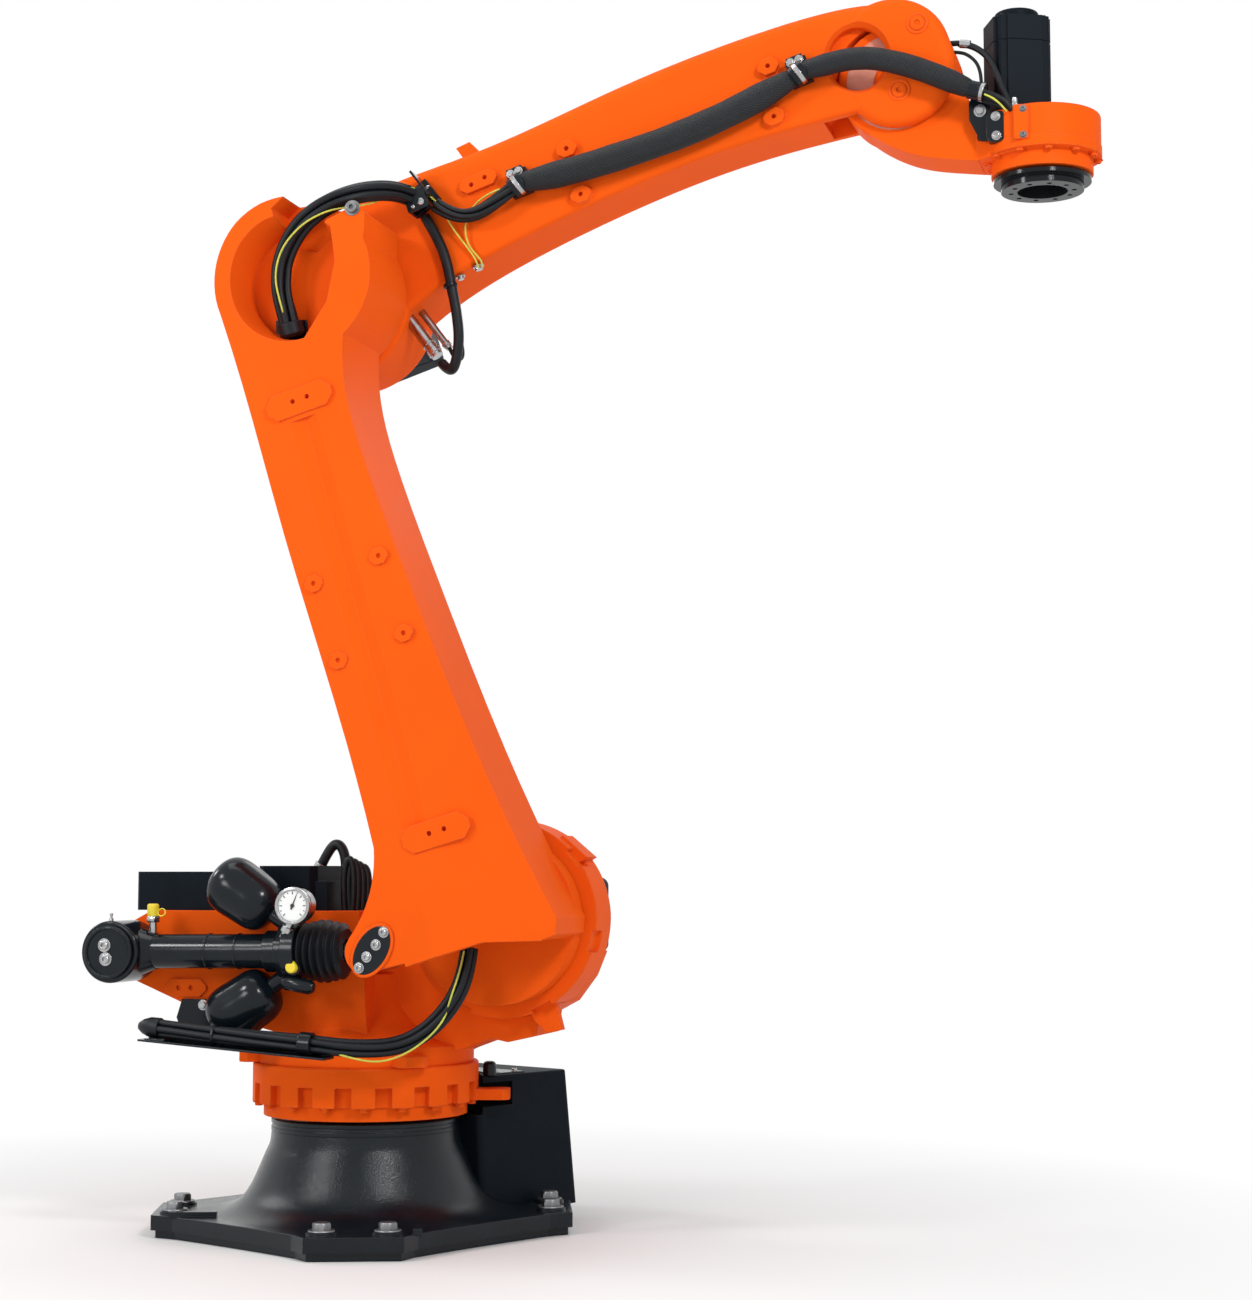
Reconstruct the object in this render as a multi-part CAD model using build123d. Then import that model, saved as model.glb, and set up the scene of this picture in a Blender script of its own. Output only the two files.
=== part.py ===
"""Industrial robot arm: a five-axis palletising robot on a trumpet-shaped base with four bolted feet.

Millimetres, +Z up. The origin is on the turning axis of the column, at the floor. The base is drawn along
the X and Y axes. Everything above the turntable is drawn with the arm pointing along +X, the near side at
-Y, and then turned to the heading it rests at. The link arm, the arm, the wrist and the cylinder are drawn
in frames of their own, with their first joint at the origin, and then put on the joint before them.
"""
import os
from math import atan2, cos, degrees, hypot, radians, sin

from build123d import *

# Joint layout and rest pose
A2_REACH = 330.0
A2_HEIGHT = 645.0
LINK_LENGTH = 1350.0
ARM_LENGTH = 1255.0
WRIST_REACH = 285.0
FLANGE_DROP = 235.0
HEADING = 116.5
LINK_LEAN = 16.5
ARM_RISE = 18.0

# Running fits: the gap between moving faces, and the spigots that carry each joint
RUNNING_GAP = 6.0
FIT = 0.5
SPIGOT = 36.0
A1_SPIGOT_R = 120.0
A2_SPIGOT_R = 110.0
A3_SPIGOT_R = 90.0
A5_PIN_R = 40.0
A6_SPIGOT_R = 60.0

# Base
BASE_HEIGHT = 235.0
NECK_R = 188.0
NECK_LIP = 7.0
BELL_R = 318.0
PLATE_T = 46.0
PLATE_STEP = 16.0
FOOT_REACH = 428.0
FOOT_HALF = 116.0
WAIST_R = 352.0
BOLT_R = 384.0
BOLT_HALF = 63.5
BOLT_HOLE_R = 13.5
BOLT_SEAT_R = 30.0
BOLT_SEAT_T = 5.0
FOOT_BAR = (96.0, 18.0, 14.0)
BOX_INNER = 150.0
BOX_OUTER = 440.0
BOX_HALF = 194.0
BOX_FLOOR = 30.0
BOX_TOP = 314.0
BOX_DRAFT = 17.0
BOX_RECESS = 9.0
STOP_POST_R = 14.0
STOP_POST_TOP = 344.0
STOP_POST = (-195.0, 168.0)

# Turntable ring
RING_R = 234.0
RING_BOTTOM = 269.0
RING_TOP = 348.0
NOTCHES = 18
NOTCH_W = 34.0
NOTCH_H = 40.0
NOTCH_DEPTH = 18.0
COLLAR_R = 211.0
LUG_REACH = 300.0
LUG_W = 62.0
LUG_T = 22.0
LUG_HEADING = 14.0
EARS = (206.0, 313.0)
EAR_REACH = 262.0

# Column
COLUMN_NECK_R = 224.0
COLUMN_NECK_TOP = 386.0
DOME_R = 102.0
DOME_TOP = 530.0
UPRIGHT_FAR = 100.0
UPRIGHT_R = 172.0
GEAR_R = 200.0
GEAR_TEETH = 7
GEAR_NOTCH = (44.0, 9.0, 46.0)
FIRST_NOTCH = 13.0
BOOM_NEAR = -150.0
BOOM_FAR = 60.0
BOOM_TOP = 660.0
BOOM_BOTTOM = 408.0
BOOM_END_H = 74.0
MOTOR_2 = 165.0
MOTOR_2_LENGTH = 255.0
MOTOR_FLANGE_R = 130.0
MOTOR_FLANGE_T = 42.0
HOUSING_TOP = 740.0

# Counterbalance cylinder
EYE_X = -452.0
EYE_Z = 577.0
CYL_Y = -224.0
EYE_R = 63.0
EYE_W = 112.0
EYE_PIN_R = 24.0
TUBE_R = 35.0
NECK_END = 80.0
HEAD_START = 242.0
HEAD_END = 168.0
HEAD_R = 54.0
BELLOWS_END = 73.0
BELLOWS_R = 65.0
BELLOWS_RIBS = 6
ROD_R = 20.0
ROD_EYE_R = 38.0
ROD_STROKE_BACK = 60.0
ACCU_R = 59.0
ACCU_LENGTH = 152.0
ACCU_OFFSET = 112.0
GAUGE_R = 34.0

# Link arm
LINK_NEAR = -330.0
LINK_FAR = -110.0
SHANK_FAR = -121.0
LINK_HEAD_R = 168.0
LINK_SHELL = 30.0
LINK_HUB_R = 172.0
LINK_HUB_T = 50.0
LINK_FOOT = 45.0
REAR_EDGE = 144.0
FRONT_EDGE = 175.0
WAIST_EDGE = 47.0
LEVER = 222.0
LEVER_R = 42.0
LEVER_GAP = 6.0
DISH_R = 133.0
DISH_DEPTH = 84.0
GROOVE_HALF = 30.0
GROOVE_X = -50.0
GROOVE_DEPTH = 9.0
FACET_ANGLE = 5.0
PAD = (144.0, 54.0, 12.0)
PAD_HOLE_R = 5.0
PAD_PITCH = 32.0
BOSS_R = 20.0

# Arm
ARM_HALF = 88.0
ELBOW_R = 165.0
TIP_R = 116.0
TIP_CROWN_R = 120.0
FORK_HALF = 58.0
HUB_GAP = 7.0
ARM_ROUND = 30.0
ARM_EDGE = 14.0
A3_FLANGE_R = 134.0
A3_TEETH = 24
WINDOW = (60.0, 66.0)
PLUG_R = 17.0
MOTOR_3 = 142.0
MOTOR_3_LENGTH = 230.0

# Wrist and tool flange
HUB_R = 118.0
HUB_HALF = 52.0
HEAD_6_R = 117.0
HEAD_6_TOP = -86.0
HEAD_6_SEAM = -172.0
HEAD_6_BOTTOM = -205.0
RING_6_R = 101.0
MOTOR_6 = 117.0
MOTOR_6_PANEL = 72.0
MOTOR_6_TURN = 23.0
MOTOR_6_BACK = 47.0
MOTOR_6_TOP = 114.0
FLANGE_R = 82.0
FLANGE_STEP_R = 97.0
FLANGE_STEP_T = 8.0
FLANGE_BORE_R = 50.0
FLANGE_BORE_DEPTH = 28.0
FLANGE_PCD = 125.0
FLANGE_HOLES = 10
FLANGE_HOLE_R = 5.25

# Hoses
BUNDLE_R = 22.0
SLEEVE_R = 29.0
SLEEVE_NECK_R = 17.0
WRIST_SLEEVE_R = 22.0
BRANCH_R = 11.0
LEAD_R = 6.5

COLUMN = Location((0, 0, 0), (0, 0, HEADING))
LINK = COLUMN * Location((A2_REACH, 0, A2_HEIGHT), (0, -LINK_LEAN, 0))
A3_X = A2_REACH - LINK_LENGTH * sin(radians(LINK_LEAN))
A3_Z = A2_HEIGHT + LINK_LENGTH * cos(radians(LINK_LEAN))
ARM = COLUMN * Location((A3_X, 0, A3_Z), (0, -ARM_RISE, 0))
A5_X = A3_X + ARM_LENGTH * cos(radians(ARM_RISE))
A5_Z = A3_Z + ARM_LENGTH * sin(radians(ARM_RISE))
WRIST = COLUMN * Location((A5_X, 0, A5_Z))
PIN_X = A2_REACH - LEVER * cos(radians(LINK_LEAN))
PIN_Z = A2_HEIGHT - LEVER * sin(radians(LINK_LEAN))
CYL_LENGTH = hypot(PIN_Z - EYE_Z, PIN_X - EYE_X)
CYL_RISE = degrees(atan2(PIN_Z - EYE_Z, PIN_X - EYE_X))
CYLINDER = COLUMN * Location((EYE_X, CYL_Y, EYE_Z), (0, -CYL_RISE, 0))
COLUMN_NEAR = LINK_FAR + RUNNING_GAP
LEVER_BACK = CYL_Y - BELLOWS_R - LEVER_GAP


def slab(outline, y_from, y_to):
    """A face drawn in X and Z, made a plate between two depths."""
    return extrude(Plane.XZ.offset(-y_to) * outline, y_to - y_from)


def across(x, z, radius, y_from, y_to):
    """A round bar along Y."""
    return slab(Pos(x, z) * Circle(radius), y_from, y_to)


def along(radius, x_from, x_to):
    """A round bar along X."""
    return extrude(Plane.YZ.offset(x_from) * Circle(radius), x_to - x_from)


def upright(radius, z_from, z_to, x=0.0, y=0.0):
    """A round bar along Z."""
    return Pos(x, y, (z_from + z_to) / 2) * Cylinder(radius, z_to - z_from)


def polygon(*points):
    return make_face(Polyline(*points, close=True))


def hose(radius, *points):
    """A round hose through hand-chosen points."""
    route = Spline(*points)
    return sweep(Plane(origin=route @ 0, z_dir=route % 0) * Circle(radius), path=route)


def sleeve(radius, neck_radius, *points):
    """A braided sleeve that is tied down to a neck at both ends."""
    route = Spline(*points)
    swell = ((0, neck_radius), (0.08, 0.85 * radius), (0.3, radius), (0.7, radius), (0.92, 0.85 * radius),
             (1, neck_radius))
    return loft([Plane(origin=route @ t, z_dir=route % t) * Circle(r) for t, r in swell])


def octagon(length, height, cut):
    return chamfer(Rectangle(length, height).vertices(), cut)


def save(node, shape, at=Location()):
    export_step(at * shape, f"parts/{node}.step")


def base_frame():
    bell = Spline((BELL_R, PLATE_T), (NECK_R + 68, PLATE_T + 24), (NECK_R + 40, 112), (NECK_R + 15, 170),
                  (NECK_R + 5, BASE_HEIGHT - 12), tangents=((-1, 0.1), (-0.05, 1)))
    wall = Polyline((NECK_R + 5, BASE_HEIGHT - 12), (NECK_R, BASE_HEIGHT), (0, BASE_HEIGHT), (0, PLATE_T),
                    (BELL_R, PLATE_T))
    trumpet = revolve(Plane.XZ * make_face(bell + wall), Axis.Z)
    lips = [upright(NECK_R + NECK_LIP, BASE_HEIGHT - drop - 8, BASE_HEIGHT - drop) for drop in (2, 18)]
    foot = ((FOOT_REACH - 46, -FOOT_HALF - 6), (FOOT_REACH, -FOOT_HALF + 20),
            (FOOT_REACH, FOOT_HALF - 20), (FOOT_REACH - 46, FOOT_HALF + 6))
    feet = [[(Rot(0, 0, 45 + 90 * k) * Pos(x, y)).position for x, y in foot] for k in range(4)]
    edges = []
    for k, points in enumerate(feet):
        waist = (Rot(0, 0, 90 + 90 * k) * Pos(WAIST_R, 0)).position
        edges += [Polyline(*points), ThreePointArc(points[-1], waist, feet[(k + 1) % 4][0])]
    outline = make_face(edges)
    plate = Pos(0, 0, PLATE_STEP) * extrude(outline, PLATE_T - PLATE_STEP)
    sole = extrude(offset(outline, -9), PLATE_STEP)
    seats, holes, bars = [], [], []
    for k in range(4):
        turn = Rot(0, 0, 45 + 90 * k)
        seat_top = PLATE_T + BOLT_SEAT_T
        for y in (-BOLT_HALF, BOLT_HALF):
            seats.append(turn * upright(BOLT_SEAT_R, PLATE_T, seat_top, BOLT_R, y))
            holes.append(turn * upright(BOLT_HOLE_R, 0, seat_top, BOLT_R, y))
        bars.append(turn * Pos(BOLT_R - 44, FOOT_HALF + 4, PLATE_T + FOOT_BAR[2] / 2 - 4) * Box(*FOOT_BAR))
    spigot = upright(A1_SPIGOT_R, BASE_HEIGHT, BASE_HEIGHT + SPIGOT)
    return trumpet + plate + sole + lips + spigot + seats + bars - holes


def connection_box():
    """A tapered case against the trumpet, with a recess that the lug on the ring swings through."""
    depth = BOX_OUTER - BOX_INNER
    foot = RectangleRounded(depth, 2 * BOX_HALF, 12)
    top = Pos(BOX_DRAFT / 2, 0, BOX_TOP - BOX_FLOOR) * RectangleRounded(
        depth - BOX_DRAFT, 2 * (BOX_HALF - BOX_DRAFT), 12)
    case = loft([foot, top])
    case = fillet(case.faces().sort_by(Axis.Z)[-1].edges(), 5)
    case = Pos(-(BOX_INNER + BOX_OUTER) / 2, 0, BOX_FLOOR) * case
    lug_top = RING_BOTTOM + LUG_T
    recess = upright(LUG_REACH + BOX_RECESS, RING_BOTTOM - 2 * BOX_RECESS, lug_top + BOX_RECESS)
    ring_room = upright(RING_R + BOX_RECESS, BASE_HEIGHT, BOX_TOP)
    return case - recess - ring_room - base_frame()


def a1_stop_post():
    x, y = STOP_POST
    pin = upright(STOP_POST_R, BOX_TOP, STOP_POST_TOP, x, y)
    return fillet(pin.edges().group_by(Axis.Z)[-1], 9)


def turntable_ring():
    ring = chamfer(upright(RING_R, RING_BOTTOM, RING_TOP).edges().group_by(Axis.Z)[-1], 3)
    notch = Pos(RING_R, 0, RING_BOTTOM + NOTCH_H / 2) * Box(2 * NOTCH_DEPTH, NOTCH_W, NOTCH_H)
    ring -= [Rot(0, 0, 360 / NOTCHES * k) * notch for k in range(NOTCHES)]
    collar_bottom = BASE_HEIGHT + RUNNING_GAP
    collar = upright(COLLAR_R, collar_bottom, RING_BOTTOM + 1)
    lug_start = RING_R - NOTCH_DEPTH - 4
    lug = Pos((lug_start + LUG_REACH) / 2, 0, RING_BOTTOM + LUG_T / 2) * Box(
        LUG_REACH - lug_start, LUG_W, LUG_T)
    lug = chamfer(lug.edges().filter_by(Axis.Z).group_by(Axis.X)[-1], 12)
    socket = upright(A1_SPIGOT_R + FIT, collar_bottom, BASE_HEIGHT + SPIGOT + 2)
    return ring + collar + Rot(0, 0, LUG_HEADING) * lug - socket


def column_casting():
    dome = Polyline((0, RING_TOP), (COLUMN_NECK_R, RING_TOP), (COLUMN_NECK_R, COLUMN_NECK_TOP)) + Spline(
        (COLUMN_NECK_R, COLUMN_NECK_TOP), (DOME_R + 34, COLUMN_NECK_TOP + 50), (DOME_R, DOME_TOP),
        tangents=((-1, 0.2), (0, 1))) + Polyline((DOME_R, DOME_TOP), (0, DOME_TOP), (0, RING_TOP))
    hub = revolve(Plane.XZ * make_face(dome), Axis.Z)
    cheek = polygon(
        (-60, COLUMN_NECK_TOP), (COLUMN_NECK_R - 60, RING_TOP), (COLUMN_NECK_R - 12, RING_TOP + 24),
        (A2_REACH - 36, A2_HEIGHT - 243), (A2_REACH, A2_HEIGHT - 250), (A2_REACH + 60, A2_HEIGHT - 236),
        (A2_REACH + 66, A2_HEIGHT - 192), (A2_REACH + 105, A2_HEIGHT - 171),
        (A2_REACH + 144, A2_HEIGHT - 119), (A2_REACH + 164, A2_HEIGHT - 70), (A2_REACH + 90, A2_HEIGHT),
        (A2_REACH - 70, A2_HEIGHT + UPRIGHT_R - 4), (A2_REACH - 260, BOOM_TOP), (-60, BOOM_TOP))
    post = slab(cheek, COLUMN_NEAR + 44, UPRIGHT_FAR) + across(A2_REACH, A2_HEIGHT, UPRIGHT_R, 0, UPRIGHT_FAR)
    post -= across(A2_REACH, A2_HEIGHT, GEAR_R, COLUMN_NEAR, 0)
    boom = polygon(
        (EYE_X - 22, EYE_Z - 0.75 * BOOM_END_H), (EYE_X - 22, EYE_Z + 0.75 * BOOM_END_H),
        (EYE_X + 30, BOOM_TOP), (40, BOOM_TOP), (60, BOOM_BOTTOM), (-120, BOOM_BOTTOM),
        (EYE_X + 134, EYE_Z - 120))
    boom = fillet(slab(boom, BOOM_NEAR, BOOM_FAR).edges().filter_by(Axis.Y).group_by(Axis.X)[0], 24)
    pad = slab(Pos(EYE_X + 112, EYE_Z - 76) * octagon(92, 36, 14), BOOM_NEAR - 6, BOOM_NEAR)
    pad -= [across(EYE_X + x, EYE_Z - 76, PAD_HOLE_R, BOOM_NEAR - 6, BOOM_NEAR) for x in (96, 124)]
    ear = Pos(EAR_REACH - 40, 0, RING_TOP + 13) * Box(80, 66, 22)
    ear = chamfer(ear.edges().filter_by(Axis.Z).group_by(Axis.X)[-1], 14)
    return hub + post + boom + pad + [Rot(0, 0, angle) * ear for angle in EARS]


def a2_gear_housing():
    rim = across(A2_REACH, A2_HEIGHT, GEAR_R, COLUMN_NEAR, 0)
    width, depth, length = GEAR_NOTCH
    notch = Pos(GEAR_R, COLUMN_NEAR + length / 2, 0) * Box(2 * depth, length, width)
    at_axis = Pos(A2_REACH, 0, A2_HEIGHT)
    turns = [FIRST_NOTCH + 360 / GEAR_TEETH * k for k in range(GEAR_TEETH)]
    notches = [at_axis * Rot(0, turn, 0) * notch for turn in turns]
    stop = slab(Pos(A2_REACH, A2_HEIGHT) * polygon(
        (40, 30 - GEAR_R), (64, -GEAR_R - 6), (88, -GEAR_R - 29), (121, -GEAR_R - 22), (106, 36 - GEAR_R)),
        COLUMN_NEAR + 24, COLUMN_NEAR + 44)
    ear = slab(Pos(A2_REACH, A2_HEIGHT) * polygon(
        (96, GEAR_R - 50), (120, GEAR_R - 32), (172, GEAR_R - 76), (140, GEAR_R - 96)), COLUMN_NEAR + 30, -6)
    socket = across(A2_REACH, A2_HEIGHT, A2_SPIGOT_R + FIT, COLUMN_NEAR, LINK_FAR + SPIGOT + 2)
    return rim - notches + stop + ear - socket


def a2_motor():
    flange = across(A2_REACH, A2_HEIGHT, MOTOR_FLANGE_R, UPRIGHT_FAR, UPRIGHT_FAR + MOTOR_FLANGE_T)
    start = UPRIGHT_FAR + MOTOR_FLANGE_T
    end = start + MOTOR_2_LENGTH
    can = slab(Pos(A2_REACH, A2_HEIGHT) * RectangleRounded(MOTOR_2, MOTOR_2, 20), start, end)
    grooves = [slab(Pos(A2_REACH, A2_HEIGHT) * (Rectangle(300, 300) - RectangleRounded(
        MOTOR_2 - 12, MOTOR_2 - 12, 16)), start + d, start + d + 5) for d in (70, MOTOR_2_LENGTH - 70)]
    plug = Pos(A2_REACH - 10, end - 110, A2_HEIGHT + MOTOR_2 / 2 + 22) * Box(52, 66, 46)
    return flange + can - grooves + plug


def rear_housing():
    low = Pos((EYE_X - 12 - 43) / 2, -45, (BOOM_TOP + HOUSING_TOP - 20) / 2) * Box(
        -43 - EYE_X + 12, 150, HOUSING_TOP - 20 - BOOM_TOP)
    left = Pos(EYE_X + 84, -45, (BOOM_TOP + HOUSING_TOP) / 2) * Box(198, 172, HOUSING_TOP - BOOM_TOP)
    right = Pos(-130, -45, (BOOM_TOP + HOUSING_TOP + 12) / 2) * Box(130, 172, HOUSING_TOP + 12 - BOOM_TOP)
    left = chamfer(left.edges().filter_by(Axis.Z), 6)
    right = chamfer(right.edges().filter_by(Axis.Z), 14)
    return low + left + right


def boom_pin():
    collar = across(EYE_X, EYE_Z, 44, BOOM_NEAR - 10, BOOM_NEAR)
    return collar + across(EYE_X, EYE_Z, EYE_PIN_R, CYL_Y - EYE_W / 2 + RUNNING_GAP, BOOM_NEAR)


def cable_tray():
    run = Pos(-155, -315, 390) * Rot(0, 4.4, 0) * Box(400, 54, 4)
    lip = Pos(-155, -290, 396) * Rot(0, 4.4, 0) * Box(400, 4, 14)
    arm = polygon((EYE_X + 92, 440), (EYE_X + 104, 478), (EYE_X + 186, 478), (EYE_X + 160, 404),
                  (EYE_X + 106, 404))
    reach = Pos(EYE_X + 128, (-330 + BOOM_NEAR) / 2, 406) * Box(44, BOOM_NEAR + 330, 4)
    return run + lip + slab(arm, BOOM_NEAR - 5, BOOM_NEAR) + reach


def cylinder_barrel():
    bore = EYE_PIN_R + FIT
    eye = fillet(across(0, 0, EYE_R, -EYE_W / 2, EYE_W / 2 - 4).edges(), 5)
    head_start = CYL_LENGTH - HEAD_START
    neck = Plane.YZ.offset(EYE_R - 14) * Circle(TUBE_R + 12)
    collar = loft([neck, Plane.YZ.offset(NECK_END) * Circle(TUBE_R + 1)])
    tube = along(TUBE_R, EYE_R - 16, head_start)
    bands = [along(TUBE_R + 1.5, x, x + 4) for x in (0.6 * head_start, 0.8 * head_start)]
    rod_bore = along(ROD_R + FIT, EYE_R + 4, head_start)
    return eye + collar + tube + bands - across(0, 0, bore, -EYE_W / 2, EYE_W / 2) - rod_bore


def eye_cover():
    return across(0, 0, EYE_R - 12, -EYE_W / 2 - 5, -EYE_W / 2)


def cylinder_head():
    start = CYL_LENGTH - HEAD_START
    end = CYL_LENGTH - HEAD_END
    collar = along(TUBE_R + 7, start, start + 30)
    block = along(HEAD_R, start + 30, end)
    flats = [Rot(45 + 90 * k, 0, 0) * Pos((start + 30 + end) / 2, 0, HEAD_R + 6) * Box(
        end - start, 2 * HEAD_R, 20) for k in range(4)]
    return collar + block - flats - along(ROD_R + FIT, start, end)


def accumulator(side):
    """An egg-shaped gas bottle whose neck stands on the head."""
    half = ACCU_LENGTH / 2
    egg = Spline((0, -half), (ACCU_R, 6), (0, half), tangents=((1, 0), (-1, 0)))
    bottle = revolve(make_face(egg + Line((0, half), (0, -half))), Axis.Y)
    neck = Rot(90, 0, 0) * Cylinder(17, 60)
    tilt = 90 + side * 33
    rise = side * ACCU_OFFSET + 3
    stand = Pos(CYL_LENGTH - HEAD_START - 53, 0, rise) * Rot(0, tilt, 0) * Rot(90, 0, 0)
    return stand * (bottle + Pos(0, half + 18, 0) * neck) - cylinder_head()


def pressure_gauge():
    x = CYL_LENGTH - HEAD_END + 12
    z = HEAD_R + 38
    case = across(x, z, GAUGE_R, -78, -44)
    rim = across(x, z, GAUGE_R + 2, -80, -74) - across(x, z, GAUGE_R - 3, -80, -77)
    stem = Pos(x - 22, -40, HEAD_R + 4) * Rot(0, 30, 0) * Cylinder(8, 70)
    return case + rim + stem - cylinder_head()


def fill_valve():
    stem = upright(8, 0, TUBE_R + 40, NECK_END - 10)
    cap = upright(11, TUBE_R + 36, TUBE_R + 60, NECK_END - 10)
    return stem + cap - cylinder_barrel() - along(TUBE_R, 0, 200)


def piston_rod():
    rod = along(ROD_R, EYE_R + 6 + ROD_STROKE_BACK, CYL_LENGTH - 20)
    eye = across(CYL_LENGTH, 0, ROD_EYE_R, -50, 50)
    return rod + fillet(eye.edges(), 4)


def rod_bellows():
    start = CYL_LENGTH - HEAD_END
    pitch = (HEAD_END - BELLOWS_END) / BELLOWS_RIBS
    wall = [(start, ROD_R + 4), (start, BELLOWS_R - 18)]
    for k in range(BELLOWS_RIBS):
        crest = BELLOWS_R - 10 * abs(1 - 2 * (k + 0.5) / BELLOWS_RIBS)
        wall += [(start + pitch * (k + 0.5), crest), (start + pitch * (k + 1), crest - 12)]
    wall += [(start + pitch * BELLOWS_RIBS, ROD_R + 4)]
    return revolve(polygon(*wall), Axis.X)


def link_arm():
    top = LINK_LENGTH
    rear = Spline((-REAR_EDGE, 190), (-REAR_EDGE + 2, 0.3 * top), (-REAR_EDGE - 12, 0.62 * top),
                  (-REAR_EDGE - 16, top - 170), (-LINK_HEAD_R, top))
    front = Spline((168, top + 30), (106, top - 75), (WAIST_EDGE + 5, top - 240), (WAIST_EDGE, top - 385),
                   (WAIST_EDGE + 18, 0.54 * top), (119, 250), (FRONT_EDGE, -LINK_FOOT))
    shank = make_face(rear + Line((-LINK_HEAD_R, top), (168, top + 30)) + front + Polyline(
        (FRONT_EDGE, -LINK_FOOT), (FRONT_EDGE - 12, -LINK_FOOT - 30), (FRONT_EDGE - 45, -LINK_FOOT - 33),
        (20, -LINK_FOOT - 4), (-REAR_EDGE, -LINK_FOOT - 6), (-REAR_EDGE, 190)))
    head = Pos(0, top) * Circle(LINK_HEAD_R)
    horn = polygon((40, top + 160), (142, top + 112), (172, top + 94), (184, top + 76), (168, top + 30),
                   (40, top))
    body = slab(shank + head + horn, LINK_NEAR, SHANK_FAR) + across(0, top, LINK_HEAD_R, SHANK_FAR, LINK_FAR)
    hollow = polygon((-REAR_EDGE - 60, -200), (-REAR_EDGE - 60, 120), (-90, 130), (-40, 100), (60, 40),
                     (FRONT_EDGE - 40, -20), (FRONT_EDGE - 40, -200))
    body -= slab(hollow, LINK_NEAR + LINK_SHELL, LINK_FAR - LINK_HUB_T)
    body += across(0, 0, LINK_HUB_R, LINK_FAR - LINK_HUB_T, LINK_FAR)
    tip = Pos(-LEVER, 0) * Circle(LEVER_R)
    lever = tip + make_face(Spline((-REAR_EDGE, 190), (-175, 112), (-LEVER - 26, 34)) + Polyline(
        (-LEVER - 26, 34), (-LEVER + 10, -LEVER_R + 2), (-60, -LINK_FOOT - 4), (0, 60), (-REAR_EDGE, 190)))
    body += slab(lever, LINK_NEAR, LEVER_BACK)
    tall = 3 * top
    left = Pos(GROOVE_X - GROOVE_HALF, LINK_NEAR, 0) * Rot(0, 0, -FACET_ANGLE) * Pos(-300, -50, 0) * Box(
        600, 100, tall)
    right = Pos(GROOVE_X + GROOVE_HALF, LINK_NEAR, 0) * Rot(0, 0, FACET_ANGLE) * Pos(300, -50, 0) * Box(
        600, 100, tall)
    body -= [left, right]
    groove = extrude(Pos(0, 0, 205) * polygon(
        (GROOVE_X - GROOVE_HALF, LINK_NEAR), (GROOVE_X, LINK_NEAR + GROOVE_DEPTH),
        (GROOVE_X + GROOVE_HALF, LINK_NEAR), (GROOVE_X, LINK_NEAR - 30)), top - 290 - 205)
    body -= groove
    dish = Pos(0, LINK_NEAR + DISH_DEPTH / 2, top) * Rot(90, 0, 0) * Cone(DISH_R - 20, DISH_R, DISH_DEPTH)
    bounds = polygon((-200, top + 210), (100, top + 210), (108, top + 70), (98, top), (60, top - 74),
                     (-17, top - 144), (-60, top - 131), (-200, top - 50))
    body -= dish & slab(bounds, LINK_NEAR - 1, LINK_NEAR + DISH_DEPTH)
    channel = polygon((0, top + 80), (44, top + 58), (104, top + 88), (165, top + 98), (240, top + 104),
                      (240, top + 190), (80, top + 190), (0, top + 150))
    body -= slab(channel, LINK_NEAR, LINK_NEAR + DISH_DEPTH + 8)
    for x, z in ((-48, top - 253), (-9, 181)):
        pad = slab(Pos(x, z) * octagon(PAD[0], PAD[1], 18), LINK_NEAR - 4, LINK_NEAR + PAD[2])
        holes = [across(x + s * PAD_PITCH / 2 + 2, z + 2, PAD_HOLE_R, LINK_NEAR - 4, LINK_NEAR + PAD[2] - 4)
                 for s in (-1, 1)]
        body += pad
        body -= holes
    for x, z in ((26, 741), (-120, 731), (34, 577), (-112, 567)):
        boss = slab(Pos(x, z) * octagon(40, 34, 12), LINK_NEAR - 2, LINK_NEAR + 16)
        body += boss - across(x, z, PAD_HOLE_R, LINK_NEAR - 2, LINK_NEAR + 12)
    spigot = across(0, 0, A2_SPIGOT_R, LINK_FAR, LINK_FAR + SPIGOT)
    socket = across(0, top, A3_SPIGOT_R + FIT, LINK_FAR - SPIGOT - 2, LINK_FAR)
    return body + spigot - socket


def lever_cover():
    ridge = GROOVE_X - GROOVE_HALF
    outline = Pos(-LEVER + 16 - ridge, 2) * Rot(0, 0, 62) * SlotOverall(88, 40)
    return Pos(ridge, LINK_NEAR, 0) * Rot(0, 0, -FACET_ANGLE) * slab(outline, -3, 0)


def arm_section(x, top, bottom, half):
    outline = Pos(0, (top + bottom) / 2) * Rectangle(2 * half, top - bottom)
    outline = fillet(outline.vertices().group_by(Axis.Y)[-1], ARM_ROUND)
    outline = fillet(outline.vertices().group_by(Axis.Y)[0], ARM_EDGE)
    return Plane.YZ.offset(x) * outline


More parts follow.
